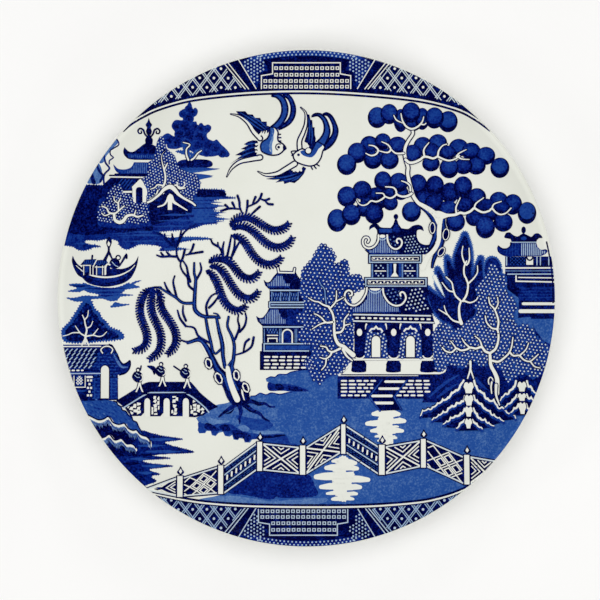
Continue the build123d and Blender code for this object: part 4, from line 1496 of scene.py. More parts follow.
def bird_bodies(m):
    """Bodies: wash over the back, bare breast and face."""
    body_1 = blob([(-19.8, 91.8), (-17.2, 91.8), (-15.4, 89.4), (-15.6, 86.2), (-15, 84.4), (-12.8, 83),
                   (-11.2, 80.8), (-12.4, 79.6), (-13.8, 78.2), (-15.8, 77.2), (-19, 77), (-22, 77.8),
                   (-24.2, 79.2), (-24.8, 82), (-23.8, 84.2), (-21.4, 85.8), (-20, 88.4)])
    m.fill(body_1, BARE, 2)
    m.patch([(-19.4, 92), (-17.4, 90.8), (-18, 87), (-19.6, 83), (-19.8, 79.6), (-18.4, 77.6),
             (-21.8, 78), (-24.2, 79.6), (-24.6, 82), (-23.4, 84.2), (-20.6, 86.4)], 0.52, 3,
            within=body_1)
    m.stroke([(-18.4, 90), (-18.4, 86), (-19.4, 82.6), (-18.8, 78.6)], [0.5, 1.2, 1.6, 0.8], SKY, 3)
    m.line(body_1, 0.65, NAVY, 4, closed=True)
    body_2 = blob([(-7.2, 77.2), (-6.6, 74.6), (-4.8, 73), (-1, 71.6), (2.4, 71.2), (5.4, 72.4), (7.6, 75.4),
                   (8.6, 79), (9.6, 81.8), (5.6, 84.2), (3.8, 81.6), (2.4, 79.4), (0, 79.6), (-2.4, 80.4),
                   (-4.8, 79.4)])
    m.fill(body_2, BARE, 2)
    m.patch([(-3.4, 79), (-2, 77), (0.6, 76), (3, 76), (5, 78), (6.4, 80.4), (8.4, 82.4), (5.6, 84),
             (3.4, 81), (1.6, 79), (-0.6, 79.8)], 0.58, 3, within=body_2)
    m.line(body_2, 0.6, NAVY, 4, closed=True)
    m.dot(0.9, 79.2, 2.0, NAVY, 4)
    m.dot(0.9, 79.4, 1.4, BARE, 5)


def bird_faces(m):
    """Faces and feet."""
    m.line(arc(-15, 81.4, 1.7, 60, 250), 0.4, NAVY, 5)
    m.dot(-15.1, 81.3, 0.75, NAVY, 5)
    m.fill(curve([(-12.6, 82.4), (-10.7, 80.6), (-12.6, 79.6)], closed=True), NAVY, 5)
    m.dot(-4.4, 77.2, 0.75, NAVY, 5)
    m.lines([[(-4.4, 79.4), (-8.2, 79), (-7.4, 77.2)], [(-7.6, 77.6), (-8, 76.8)]], 0.5, NAVY, 5)
    ticks = [(-14.6, 84.6, 0.4), (-14.6, 86.4, 0), (-14.8, 88.2, 0), (2.8, 70, -60), (4.6, 70.4, -50),
             (6.1, 71.6, -30)]
    for x, y, turn in ticks:
        m.line(move([(-0.7, 0), (0.7, 0)], x, y, turn=turn), 0.55, NAVY, 5)


def bird_wings(m):
    """Wings: a long outlined feather, then dark feathers as tapering strokes from the shoulder."""
    long_feathers = [[(-40.8, 99), (-36, 97.8), (-31.6, 94.4), (-28.4, 89.6), (-25, 86)],
                     [(-43, 65.4), (-40.4, 70), (-36, 73.4), (-30, 74.9), (-25, 75.8)],
                     [(-3.2, 102.6), (-0.6, 99.6), (-0.4, 94), (-2, 89), (-3.8, 84.8), (-3.8, 80.6)],
                     [(-26.2, 68.2), (-22, 66.4), (-16, 67), (-11.4, 69.4), (-6.4, 72.4)]]
    for path, swell in zip(long_feathers, (1.8, 2.0, 1.8, 2.2)):
        m.stroke(path, [0.7, swell + 0.2, swell + 1.0, swell + 1.4], NAVY, 1)
        m.stroke(path, [0, swell - 1.1, swell - 0.4, swell], BARE, 2)
    wings = [([(-38, 100.5), (-33, 100.5), (-31.6, 98.9), (-29, 98.8), (-27.8, 97), (-25, 97), (-24.2, 95),
               (-21.5, 95), (-21.4, 92.8), (-20, 92.5), (-19.3, 90.5), (-21, 89), (-22.5, 88.5), (-24, 89),
               (-26, 88.3), (-28, 90.5), (-31, 94), (-34, 97.3), (-37, 99.2)],
              [[(-22, 90.6), (-28, 95), (-35.6, 99.8)], [(-21.6, 92), (-26, 95.6), (-30.8, 98.2)],
               [(-23.6, 90), (-29, 93.6), (-33.6, 97.4)]]),
             ([(-26.5, 84.8), (-29, 85), (-31.5, 84.3), (-33.8, 82.8), (-31.5, 82.3), (-35.5, 80.3),
               (-33, 80), (-38.5, 77), (-35, 76.8), (-41.5, 72), (-38, 74.3), (-35, 75.5), (-30, 76),
               (-26, 75.5), (-27, 77.5), (-26.3, 79.3), (-27, 81), (-26, 82.5)],
              [[(-27.4, 83.4), (-30, 83.2), (-32.6, 82.4)], [(-27.6, 81.4), (-31, 80.6), (-34.6, 78.6)],
               [(-28, 79), (-32, 77.8), (-36.6, 75.6)]]),
             ([(0.3, 99), (1.5, 98.7), (2, 96), (3, 95.8), (3.2, 92), (4.2, 92), (4.3, 88), (4.9, 86),
               (4.6, 83.5), (3.6, 81.5), (2.5, 79.5), (1, 81.5), (0.2, 83.5), (-1.3, 84.3), (-0.3, 87.5),
               (0.5, 91), (0.7, 95)],
              [[(1.2, 84.4), (1.6, 90), (1.2, 96.6)], [(2.6, 83.6), (3, 88), (2.4, 93)]]),
             ([(-8.5, 69), (-11.5, 67.8), (-14.5, 66), (-18, 65), (-22, 64.2), (-18, 63.8), (-14.5, 64),
               (-16.8, 62.3), (-12.5, 63), (-12, 61.5), (-9, 62.5), (-6.5, 62), (-4, 64), (-1.5, 67),
               (-0.3, 70), (-2, 71), (-3, 69), (-5, 68)],
              [[(-5, 67.2), (-10, 65.6), (-18, 64.4)], [(-4, 66), (-8, 64.4), (-14, 63.2)],
               [(-2.6, 67), (-5, 64.6), (-8, 63.2)]])]
    for outline, shafts in wings:
        m.fill(np.array(outline), NAVY, 2)
        for shaft in shafts:
            m.stroke(shaft, [0.2, 0.9, 0.3], 0.62, 3)
    for x, y, turn in ((-24.6, 88.8, 60), (-23.2, 89, 70), (-21.8, 89.2, 80), (-26.2, 83, 10),
                       (-26.4, 80.8, 0), (-26.2, 78.8, -10), (-0.8, 83.4, 120), (0.4, 82.6, 110),
                       (-6.4, 69.4, 60), (-4.6, 69.4, 80), (-3, 69.8, 90)):
        m.line(move([(-1, 0), (1, 0)], x, y, turn=turn), [1.1, 0.3], BARE, 4)


def island_land(m):
    """Land and the water round it."""
    land = np.vstack([arc(0, 0, 136, 153.5, 167.6, step=3),
                      curve([(-129.4, 28.2), (-125.6, 27.8), (-123, 26.2), (-120, 25.6), (-117.2, 26.2),
                             (-114, 27.4), (-110.4, 27.8), (-113.4, 28.6), (-118, 29.2), (-118.6, 31),
                             (-111, 31.2), (-106.4, 32), (-101.6, 30.8), (-100.6, 28.4), (-97.2, 26.3),
                             (-93.4, 27.4), (-90.4, 28.9), (-84, 28.8), (-78, 27.6), (-79.4, 25.6),
                             (-73, 25.6), (-69, 26), (-64.6, 26.7), (-70, 27.5), (-68, 30), (-60, 31.4),
                             (-52, 31.7), (-54, 32.6), (-66, 32.9), (-75, 32.8), (-79.6, 35.8)]),
                      curve([(-70, 36.6), (-62, 37.4), (-55, 39.6), (-47.6, 40.4), (-50, 41.6), (-43.6, 42.6),
                             (-49, 44), (-47.2, 46), (-51, 47.4), (-47.2, 49.8), (-52, 51.4), (-46, 53.8),
                             (-38, 54), (-44, 55.2), (-44, 58), (-50, 58.6), (-60, 58.8)]),
                      [(-90, 62), (-104, 64.6), (-108, 60.6), (-119.6, 60.6)]])
    m.fill(ragged(land, 0.9, 1.3, 4), WASH, -2)
    m.fill(land, 0.8)
    m.patch([(-128, 36), (-125, 46), (-120, 59.6), (-109, 59.8), (-107, 55.6), (-111.4, 52.6), (-112, 44),
             (-110, 38.6), (-90, 38), (-70, 43), (-60, 46.6), (-60, 50), (-84, 50), (-84, 42), (-84, 36),
             (-104, 35), (-118, 34)], 0.96, 1)
    m.streaks([(33.6, -104, -72), (35.4, -98, -78), (41.6, -82, -56), (30.4, -100, -72), (44.6, -80, -62),
               (38.4, -84, -62), (29, -126, -116)], [0, 1.3, 0], BLUE, 2, rise=0.4, lift=0.2)
    for y, x0, x1, w in ((51.6, -62, -45, 1.4), (49.6, -64, -42, 1.8), (47.4, -62, -46, 1.2),
                         (46, -64, -43, 1.8), (44.4, -60, -45, 1.2), (42.6, -62, -40, 1.8),
                         (41.2, -60, -44, 1.2), (26.4, -76, -62, 1.0), (32.2, -70, -50, 1.2),
                         (53.6, -60, -38, 1.2), (69.6, -66, -47, 1.6), (66, -64, -50, 1.4)):
        m.line([(x0, y), ((x0 + x1) / 2, y + 0.2), (x1, y)], [w * 1.2, w, 0], 0.62, 2)
    m.patch([(-59, 58.4), (-52, 58.6), (-45, 57.6), (-43.6, 55.4), (-52, 54.6), (-59, 54.8)], 0.97, 2)
    m.patch([(-69.6, 72.6), (-67, 74.4), (-60, 74.8), (-53, 74.4), (-50.6, 72.6), (-52, 70.6),
             (-60, 70.2), (-68, 70.2)], 0.93, 2)
    m.patch([(-68, 70.6), (-60, 70.8), (-53, 70), (-46.8, 69.7), (-53, 68.6), (-60, 67.6), (-68, 67)],
            0.5, 1)
    m.patch([(-60, 67), (-54, 66), (-50.6, 65.4), (-55, 64.4), (-60, 63.6)], 0.55, 1)


def island_cliffs(m):
    """Cliffs at the rim."""
    for patch in ([(-109, 78.6), (-106.4, 82.6), (-104.8, 79.6), (-107.4, 76), (-108.6, 73), (-111, 72.6)],
                  [(-114, 69.6), (-111.6, 72.4), (-109.6, 68), (-110.4, 62), (-114.6, 61.4), (-117.6, 62.4)],
                  [(-104, 83), (-102.4, 85.6), (-101, 83.4), (-103.6, 80.6), (-105.4, 79.8)]):
        m.patch(patch, 0.4)
    m.strokes((([(-103.4, 83.6), (-102, 85.4), (-100.6, 82.4), (-103.6, 80.2), (-105.2, 79), (-105, 76.8),
                 (-103.6, 75.4), (-105.6, 73.8), (-105.8, 72)], 0.5),
               ([(-109.4, 79.6), (-108.4, 75.6), (-107.6, 72.4), (-105.7, 69.6), (-108, 67),
                 (-108.8, 64.6), (-108.6, 61)], 0.8),
               ([(-112.4, 71.4), (-111, 68), (-109.2, 65.6), (-110.6, 62.6)], 1.1),
               ([(-115.4, 66.4), (-114, 62)], 2.0)), 0.9, 1)


def far_hall_roofs(m):
    """Roofs and finial of the far hall."""
    m.fill(np.vstack([curve([(-97.6, 81), (-98.3, 79), (-97.8, 76.8), (-95.6, 74.8), (-92, 74.3)]),
                      [(-79, 74.3), (-79, 80.4)],
                      curve([(-81, 81.6), (-84.4, 83.2), (-87, 82.9), (-90, 80.6), (-93, 78.6),
                             (-95.4, 78.8), (-96.8, 80)])]), NAVY, 1)
    eave = np.array([(-96.6, 77.4), (-95.4, 75), (-80, 74.8), (-80, 77.6), (-94, 77.6)])
    m.fill(eave, 0.8, 2)
    m.hatch(eave, 1.1, 0.4, 90, WASH, 3)
    m.line([(-93.4, 73.8), (-80, 73.8)], 0.9, BARE, 3)
    m.fill(np.vstack([curve([(-103.7, 71.8), (-102.8, 69), (-101.2, 67.2), (-98.6, 66)]),
                      [(-80, 65.9), (-80, 73)], curve([(-92.7, 73), (-93.8, 70.8), (-95.6, 69.6),
                                                       (-98.4, 69.1), (-101.2, 69.5), (-102.6, 70.8)])]),
           0.76, 1)
    m.hatch(np.array([(-99, 67.4), (-81, 67.2), (-81, 72.6), (-92.4, 72.6), (-94, 69.8)]), 1.1, 0.4, 90,
            0.4, 2)
    m.line([(-102.6, 66.4), (-85, 66.4)], 0.9, NAVY, 2)
    m.line([(-105.6, 65.9), (-84, 65.7)], 0.6, NAVY, 3)
    m.line([(-105, 65.1), (-84, 64.9)], 0.7, BARE, 4)
    spire = curve([(-84.6, 96.7), (-83.9, 94.6), (-82.9, 93), (-83.6, 91.4), (-83, 89.4), (-83.8, 87.2),
                   (-82.9, 85.6), (-82.6, 82.8)], step=0.5)
    m.fill(np.vstack([spire, mirror(spire, -84.6)]), NAVY, 1)
    m.dot(-84.6, 89.3, 1.5, NAVY, 1, ry=2.0)
    m.dot(-84.6, 84.6, 2.1, NAVY, 1, ry=2.2)
    horn = curve([(-83.6, 86.6), (-82.4, 88.2), (-81.6, 90.2), (-80, 91), (-78.8, 89.8), (-79.4, 88.4),
                  (-80.7, 88.6), (-80.5, 89.6)], step=0.5)
    for path in (horn, mirror(horn, -84.6)[::-1]):
        m.line(path, [0.7, 0.9, 0.7, 0.5], NAVY, 1)


def far_hall_gateway(m):
    """Wall and gateway."""
    m.fill(np.array([(-110, 60), (-105, 64.8), (-88, 64.8), (-88, 50), (-108, 50), (-108, 57)]), 0.97, 1)
    m.hatch(np.array([(-104, 61), (-100, 64), (-92, 64), (-95, 58.6), (-100, 58.6)]), 1.5, 0.6, 52, 0.7, 2)
    m.line([(-98.8, 57.1), (-94.2, 57.2)], 1.0, BARE, 8)
    gate = np.array([(-93.6, 50.4), (-93.6, 59), (-93.9, 59.8), (-89.4, 64.2), (-84.9, 59.8), (-85.6, 59),
                     (-85.6, 50.4)])
    m.line(gate, 0.8, NAVY, 5, closed=True)
    m.fill(gate, BARE, 6)
    m.fill(np.vstack([[(-91.8, 50), (-91.8, 58.4)], arc(-89.9, 58.6, 1.7, 180, 0, ry=1.2),
                      [(-88.2, 58.4), (-88.2, 50)]])[::-1], 0.95, 7)


def island_bushes(m):
    """Dotted bushes."""
    bush = blob([(-112, 46), (-110.6, 50.6), (-107.6, 52.4), (-106.8, 56.8), (-103, 60.6), (-99, 60.4),
                 (-98, 56.4), (-94, 55.4), (-92.6, 51.4), (-87, 51.4), (-84.2, 48), (-85.6, 45),
                 (-84.8, 41.6), (-90, 40.2), (-97, 40.4), (-104, 40.6), (-110, 40.2), (-112.4, 42)])
    m.lace(bush[::-1], 1.6, 48, 0.7, 0.37, 0.86, seed=4, layer=8)
    tree = blob([(-80, 84.6), (-78, 87), (-76, 85), (-75.4, 81), (-73.4, 78.6), (-71, 76.6), (-69.8, 73.4),
                 (-68.4, 70.4), (-64, 68), (-59.6, 66.8), (-57.6, 63), (-57.4, 59.6), (-59.6, 56),
                 (-62, 53), (-68, 55), (-71, 58), (-74, 60), (-78, 57.4), (-84, 52), (-86.2, 52.4),
                 (-85.8, 58), (-88.4, 64), (-85.4, 66.4), (-85.2, 72.6), (-82, 75), (-81.4, 79)])
    m.lace(tree[::-1], 1.6, 40, 0.68, 0.38, 0.78, seed=5, layer=8)
    m.veins((([(-76, 79.6), (-78, 76), (-77, 70.4), (-76, 66), (-76.2, 62.4), (-77.4, 59.4), (-77.2, 56.6)],
              [0, 0.8, 1.2]), ([(-74.8, 72.6), (-76.4, 69.6)], [0.5, 0.9]),
             ([(-84, 58.6), (-81.6, 59.6), (-80.2, 61), (-77.4, 60.6)], [0.4, 0.9]),
             ([(-84.6, 53), (-81.4, 55), (-80, 58)], [0.6, 0.7]),
             ([(-73.6, 62.4), (-72.4, 60.6), (-70, 60.8), (-68.4, 59), (-65.4, 59.4)], [0.5, 0.9, 0.6]),
             ([(-109.8, 49.4), (-107.4, 48.4), (-106, 46), (-103, 45.6), (-100.6, 47.4), (-98, 49.6)],
              [0.6, 1.0, 0.6]), ([(-103.4, 45.4), (-103, 42.2), (-100.6, 40.8), (-98.4, 41.8),
                                  (-96.6, 44.2), (-93.4, 44.8), (-91, 43.8), (-88, 44.6)],
                                 [1.2, 1.9, 1.2, 0.7]), ([(-103.4, 54.6), (-103.2, 52.6), (-101.4, 51.4),
                                                          (-100, 53.6)], [0.5, 0.7]),
             ([(-101.2, 51.4), (-101, 47.4)], [0.8, 0.9]), ([(-92.6, 45), (-91.8, 47.4)], [0.8, 0.4]),
             ([(-110, 45.6), (-108.2, 44.4), (-105.6, 45.4)], [0.5, 0.7])), 0.3, 11)
    m.line(arc(-67.6, 61.4, 2.1, 150, 400, ry=1.8), 0.6, BARE, 11)


def island_hills(m):
    """White-edged hills."""
    m.fill(np.array([(-84.4, 51.4), (-77, 57.6), (-73.4, 60), (-70, 57), (-61, 50.4), (-62, 46), (-84, 47)]),
           0.96, 11)
    m.veins((([(-85.4, 51.6), (-83, 52.8), (-79, 56), (-76.6, 58.6), (-73.4, 60), (-71, 58.4), (-69, 56),
               (-66, 53.8), (-62, 51.6), (-60, 50)], [1.0, 1.2, 2.4, 1.2, 0.9]),
             ([(-80, 49.2), (-77, 50.2), (-75.4, 52), (-74, 54.8), (-73, 55), (-71.8, 52.2), (-69, 50.2),
               (-64.4, 47.4)], [0.6, 1.0, 2.0, 1.0, 0.6])), 0.35, 13)
    m.fill(box(-74.7, 47.6, -72.4, 55), BARE, 15)


def cloud_tree(m):
    """Cloud-shaped tree."""
    crown = blob([(-63, 105.3), (-61.6, 103.6), (-61.4, 101.2), (-59.8, 102.3), (-58.5, 101), (-58.8, 98.8),
                  (-60.8, 96.9), (-61, 94.9), (-59.2, 94.8), (-58.6, 91.4), (-57.8, 93.6), (-56.4, 94.2),
                  (-55, 92.8), (-53.2, 93.4), (-51.4, 92.4), (-51.6, 90.4), (-53.6, 88.2), (-53, 85.8),
                  (-50, 84.6), (-48.4, 85.4), (-46, 82.8), (-43, 80), (-41.4, 77.4), (-43, 75.8),
                  (-46.4, 77), (-51, 76.2), (-56, 76.6), (-60, 78), (-66, 81), (-70.4, 80.2), (-74.6, 80.8),
                  (-75.4, 84), (-77.6, 86.6), (-74.6, 88.6), (-71.4, 87), (-69.6, 88), (-71.6, 90.6),
                  (-72.2, 93.4), (-70.4, 95.6), (-66.8, 95.6), (-66, 97.2), (-67.8, 99.2), (-66.8, 101.2),
                  (-65, 102)])
    m.fill(crown, 0.76, 4)
    puffs = [(-63, 102, 2.2), (-66, 99.4, 2.3), (-60.6, 100, 2.2), (-63.2, 97, 3), (-69.4, 93, 2.8),
             (-65, 93, 3.4), (-59.4, 92, 2.2), (-56.6, 91.6, 2.4), (-53.4, 91.4, 2.1), (-67.6, 88.6, 3.2),
             (-62.4, 88, 3.8), (-57, 87.4, 3.6), (-73.6, 85.4, 2.8), (-69, 84, 3), (-64.6, 84, 2.6),
             (-58, 82.6, 3.2), (-52.4, 82.6, 3.4), (-48.6, 81.4, 3), (-45, 78.6, 2.6), (-53.6, 78.8, 2.4)]
    for x, y, r in puffs:
        m.dot(x - 0.3, y - 0.5, r, 0.95, 5, ry=r * 0.94, edge_tone=0.74)
    for path, width in (([(-66.6, 84), (-64.8, 80), (-63.8, 76)], [1.6, 3.4, 2.4]),
                        ([(-56.4, 80), (-59.4, 78), (-62, 75.4)], [1.6, 3.0, 2.0]),
                        ([(-70, 79), (-66, 78.4), (-62, 77.6)], [0.8, 2.2, 1.4])):
        m.fill(ragged(ribbon(curve(path), width)[0][::-1], 0.5, 1.2, 3), 0.6, 6)
    m.veins((([(-66.4, 83.8), (-62.8, 82.6), (-64.6, 80.2), (-64.6, 77.2), (-63.6, 74.4)], [0.4, 0.9]),
             ([(-56.6, 79.4), (-58.6, 78), (-60.4, 75.6), (-62, 74.4)], [0.5, 0.9])), 0.4, 7)


def boat_hull(m):
    """Hull and cabin."""
    hull = curve([(-125.3, 22.9), (-125.8, 20), (-124.7, 16), (-122.6, 12.4), (-120.4, 11), (-117, 8),
                  (-110, 6.3), (-105, 6.5), (-99, 8), (-95, 10.5), (-92.7, 14), (-91.2, 18), (-90.5, 22.6),
                  (-91.6, 20.6), (-93, 18.8), (-96, 16.8), (-99.4, 15.8)], step=0.6)
    m.fill(np.vstack([hull, [(-108, 16), (-120, 18)], curve([(-120.6, 16.6), (-123, 18.6), (-124.6, 21)])]),
           0.96)
    m.patch([(-116, 10.6), (-108, 8.4), (-100, 10), (-96, 13), (-104, 11), (-112, 10.8)], COBALT, 1)
    m.stroke([(-123.6, 17.6), (-120, 14.4), (-117, 12.9), (-113, 11.8), (-108, 11.3), (-103, 11.8),
              (-99, 13), (-95, 15.2), (-92.4, 17.8)], [0.3, 0.9, 0.9, 0.3], BARE, 2)
    m.fill(box(-120, 12.6, -105.6, 18.4), NAVY, 3)
    for x0, x1, y0, y1 in ((-119, -116.9, 14, 17.2), (-112.1, -110.2, 12.9, 16.4)):
        m.fill(box(x0, y0, x1, y1), 0.74, 4)
    for x in (-119.6, -116.2, -114.7, -112.8, -109.6, -108.4):
        m.line([(x, 12.6), (x, 17.4)], 0.45, BARE, 5)
    m.line([(-119.8, 17.7), (-116, 17.7)], 0.5, BARE, 5)
    m.line([(-113.6, 16.8), (-109, 16.8)], 0.5, BARE, 5)
    m.stroke([(-108.1, 13), (-108, 16.8), (-107, 18.4), (-105.8, 18)], 0.8, BARE, 5)
    for roof in ([(-121.4, 17.9), (-119, 20.8), (-112.4, 21.1), (-114.4, 17.8)],
                 [(-114.2, 17.3), (-112.6, 20.5), (-107.8, 20.7), (-106.2, 18.2)]):
        m.fill(np.array(roof), 0.95, 4)
        m.hatch(np.array(roof)[::-1], 1.0, 0.35, 75, 0.6, 5)
    m.line([(-112.6, 21), (-114.5, 17.2)], 0.5, BARE, 6)
    m.line([(-115.2, 21), (-115, 22.9)], 0.8, NAVY, 4)


def boat_mast(m):
    """Mast and boatman."""
    mast = curve([(-106.4, 32), (-107.2, 30.4), (-106.8, 28.6), (-106.2, 26.4), (-106.8, 24), (-108.4, 20.6)])
    for leg in (mast, mirror(mast, -106.3)):
        m.line(leg, [0.5, 1.0, 0.8, 1.2, 1.6], NAVY, 3)
    m.dot(-106.3, 29.2, 0.7, BARE, 4, ry=1.1)
    m.patch([(-106, 19), (-104.6, 21.2), (-102, 21.6), (-100.6, 19.6), (-100.6, 17), (-103.4, 15.8),
             (-105.6, 16.8)], NAVY, 4)
    m.dot(-101.3, 21.9, 1.5, NAVY, 5)
    m.dot(-101.3, 21.8, 0.8, BARE, 6)
    m.stroke([(-104.6, 19.6), (-103, 17.8), (-101.4, 17)], 0.4, PALE, 6)
    m.stroke([(-100.6, 17.4), (-98.8, 20.4), (-97, 23.4), (-96.8, 21.6)], [0.6, 1.0, 0.9], NAVY, 5)


def boat_ripples(m):
    """Ripples."""
    for outline in ([(-127.6, 7.2), (-124, 7.9), (-119, 7.6), (-110, 5.8), (-104, 5.6), (-97, 7), (-92, 9.2),
                     (-88.7, 9.6), (-93, 7.6), (-89.5, 6), (-97, 4.8), (-104, 3.4), (-112, 3.4), (-119, 4.4),
                     (-122, 3.4), (-128.4, 3.8), (-123, 5.4)],
                    [(-129, 0.4), (-125, 0.2), (-119, 1.4), (-112, 1.2), (-106, 2.6), (-99, 2.4),
                     (-93, 1.7), (-100, 0.9), (-102, -1.2), (-106, -1.4), (-110, -0.2), (-116, -0.6),
                     (-123, -1.8)],
                    [(-103, -2), (-99, -3), (-95, -3.2), (-100, -4.4), (-105.6, -4.8), (-104, -3.2)]):
        m.fill(ragged(blob(outline)[::-1], 0.3, 1.8, 5), 0.56)
    m.fill(ragged(blob([(-120, 8.4), (-112, 5.6), (-103, 5.6), (-95, 8.6), (-98, 3.8), (-104, 0.8),
                        (-113, 2.2), (-119, 4)]), 0.5, 1.6, 4)[::-1], 0.62, 1)
    m.streaks([(5.4, -119, -98), (3.4, -114, -99), (1.6, -112, -104), (6.8, -127, -116)], [0, 1.1, 0], 0.85,
              2, rise=-0.3)


# ---- The print: willow, bridge and left bank -------------------------------------------------

def frond(m, path):
    """A hanging spray of leaves: short slanted strokes on both sides of a stem."""
    leaf_reach, leaf_pitch = 4.0, 1.35
    points, along = resample(curve(path), leaf_pitch)
    m.line(points, [1.2, 1.8, 1.6, 0.8], 0.92, 1)
    for i, (point, direction) in enumerate(zip(points, along)):
        reach = leaf_reach * min(1.0, 0.55 + i / 7, 0.5 + (len(points) - i) / 8)
        for sign in (-1, 1):
            side = np.array([-direction[1], direction[0]]) * sign
            leaf = [point - direction * 0.5, point + side * reach * 0.5 + direction * 0.7]
            m.line(np.array(leaf), [0.75, 0.8], 0.92, 2)


FRONDS = [
    [(-40.5, 39), (-39, 42), (-35, 43.8), (-31, 43.5), (-27, 41.5), (-22.5, 38.5), (-18, 36.5), (-14, 36.8),
     (-11, 38.3), (-9.6, 40.2)],
    [(-39.5, 37.5), (-36, 39), (-32, 38.3), (-28, 35.5), (-24, 31.5), (-20, 28.5), (-16, 27.2), (-12, 28),
     (-9, 30), (-7.6, 32.5)],
    [(-39.5, 33.5), (-36.5, 33), (-33.5, 30.5), (-31, 26.5), (-28.5, 22.8), (-25, 19.5), (-21, 18),
     (-17.5, 18.5), (-15, 20), (-13.6, 21.8)],
    [(-52, 19.5), (-50, 21), (-46.5, 21.6), (-42.5, 20.3), (-39.5, 17.5), (-37, 14), (-34, 11.2),
     (-30.5, 10.3), (-27.5, 11.5), (-25.6, 14)],
    [(-51.5, 17), (-48, 17), (-45, 14.5), (-42.5, 10.5), (-40, 6.5), (-37, 2.5), (-33.5, 0), (-30, -0.3),
     (-27.5, 1.2), (-26, 3.6)],
    [(-53.5, 14.5), (-51, 13), (-48, 8), (-46, 2), (-43.5, -3), (-40, -6), (-36.5, -6.9), (-34.5, -5.8),
     (-32.8, -4.3)],
    [(-84, 4.8), (-87, 3), (-89, -1), (-89.8, -6), (-89, -11), (-87, -16), (-85.8, -20.5), (-86.2, -24.5),
     (-89, -27.5), (-92.8, -28.2)],
    [(-82.5, 4.5), (-83.5, 0), (-83.8, -5), (-82.3, -10.5), (-79.8, -15.5), (-78.3, -20.5), (-78.5, -26),
     (-80.5, -30), (-84.5, -32.8)],
    [(-80.5, 4.2), (-78.6, 1), (-78.8, -3.5), (-76.8, -8), (-73.5, -12.5), (-70.8, -17.5), (-70, -22.5),
     (-71.5, -26.8), (-74.8, -30)],
]

TWIGS = [[(-34.8, 46), (-36, 49), (-36.2, 52), (-37.2, 55.2)], [(-36.2, 48), (-41.5, 48.3), (-46, 47)],
         [(-38.5, 48.5), (-40, 51.5)], [(-41.8, 48.5), (-43.8, 50.2)],
         [(-32.8, 45), (-32, 49), (-31.8, 52.5)],
         [(-31.5, 49.3), (-28, 51), (-26.5, 52), (-25, 54), (-24.2, 56.2)], [(-29, 51.2), (-27.5, 54.5)],
         [(-24.8, 53.5), (-22.5, 52.7), (-20.2, 53.5)], [(-22.5, 52.7), (-20.8, 50.8), (-18.3, 50.5)],
         [(-30.5, 44.4), (-28, 46.8), (-25.2, 49.3)], [(-51.5, 31.8), (-50.5, 29.5), (-47.5, 27.8)],
         [(-47.8, 30), (-47.5, 28), (-46, 25.8), (-45, 22.4)], [(-44.5, 30.3), (-45.2, 27), (-45, 24)],
         [(-40.5, 34), (-41.5, 28.5), (-43, 21.5)], [(-38.6, 33.4), (-39, 27), (-41, 20.5)],
         [(-35.5, 31.5), (-38, 27), (-40, 23)], [(-67.4, 36.4), (-68.4, 32), (-70, 28)],
         [(-60, 39.6), (-65.4, 36), (-68.4, 31.4), (-70, 28), (-74, 30), (-78, 34), (-82.4, 35.4)],
         [(-76.4, 34.6), (-76, 32), (-73.6, 29.6)], [(-72.4, 34.6), (-72, 31.6), (-71.4, 29)],
         [(-80.6, 23.2), (-78, 22.3), (-74, 22.6), (-70, 22.4)], [(-78.4, 24.6), (-77, 22.6)],
         [(-75.4, 25), (-73.4, 22.8)], [(-70, 28), (-69.8, 23), (-67.8, 19.8), (-66.6, 22), (-65.6, 26)],
         [(-65, 23.3), (-62, 24), (-56, 25)], [(-63.5, 23.8), (-61.8, 26), (-60.8, 29)],
         [(-76.5, 8.5), (-75, 5), (-73, 2.3)], [(-71, 12), (-71.8, 9), (-71.2, 5.5), (-69.8, 0)],
         [(-67.8, 20), (-67.8, 17), (-66.4, 14), (-64, 11), (-63.4, 7), (-60.5, 4.2)],
         [(-66.4, 20), (-64.6, 17), (-63.8, 13), (-62.6, 9)], [(-69.5, -6.5), (-68, -11), (-65, -15)],
         [(-66.5, -4), (-66.5, -8), (-65, -12)], [(-67.5, -22.5), (-64, -23.4), (-58.5, -21.6)],
         [(-65, -15), (-60.5, -16), (-58.5, -20), (-55, -22.5), (-52, -24)],
         [(-48, 3), (-51.5, 1), (-54, -4), (-53.5, -9)], [(-47, 1.5), (-50, -2.5), (-52.5, -5)],
         [(-36.7, -9), (-37, -12), (-36.3, -16), (-38.5, -22)],
         [(-33, -8), (-32.5, -11), (-33.5, -15), (-36, -18)],
         [(-38.5, -30.5), (-35, -29.5), (-32, -28), (-29.5, -25.5), (-28.5, -21)],
         [(-34, -28.5), (-33, -24), (-31, -22)], [(-57.3, 19), (-56.8, 15), (-59.5, 9.7)],
         [(-84.6, 5.4), (-82, 5.8), (-78.5, 5.8)], ]


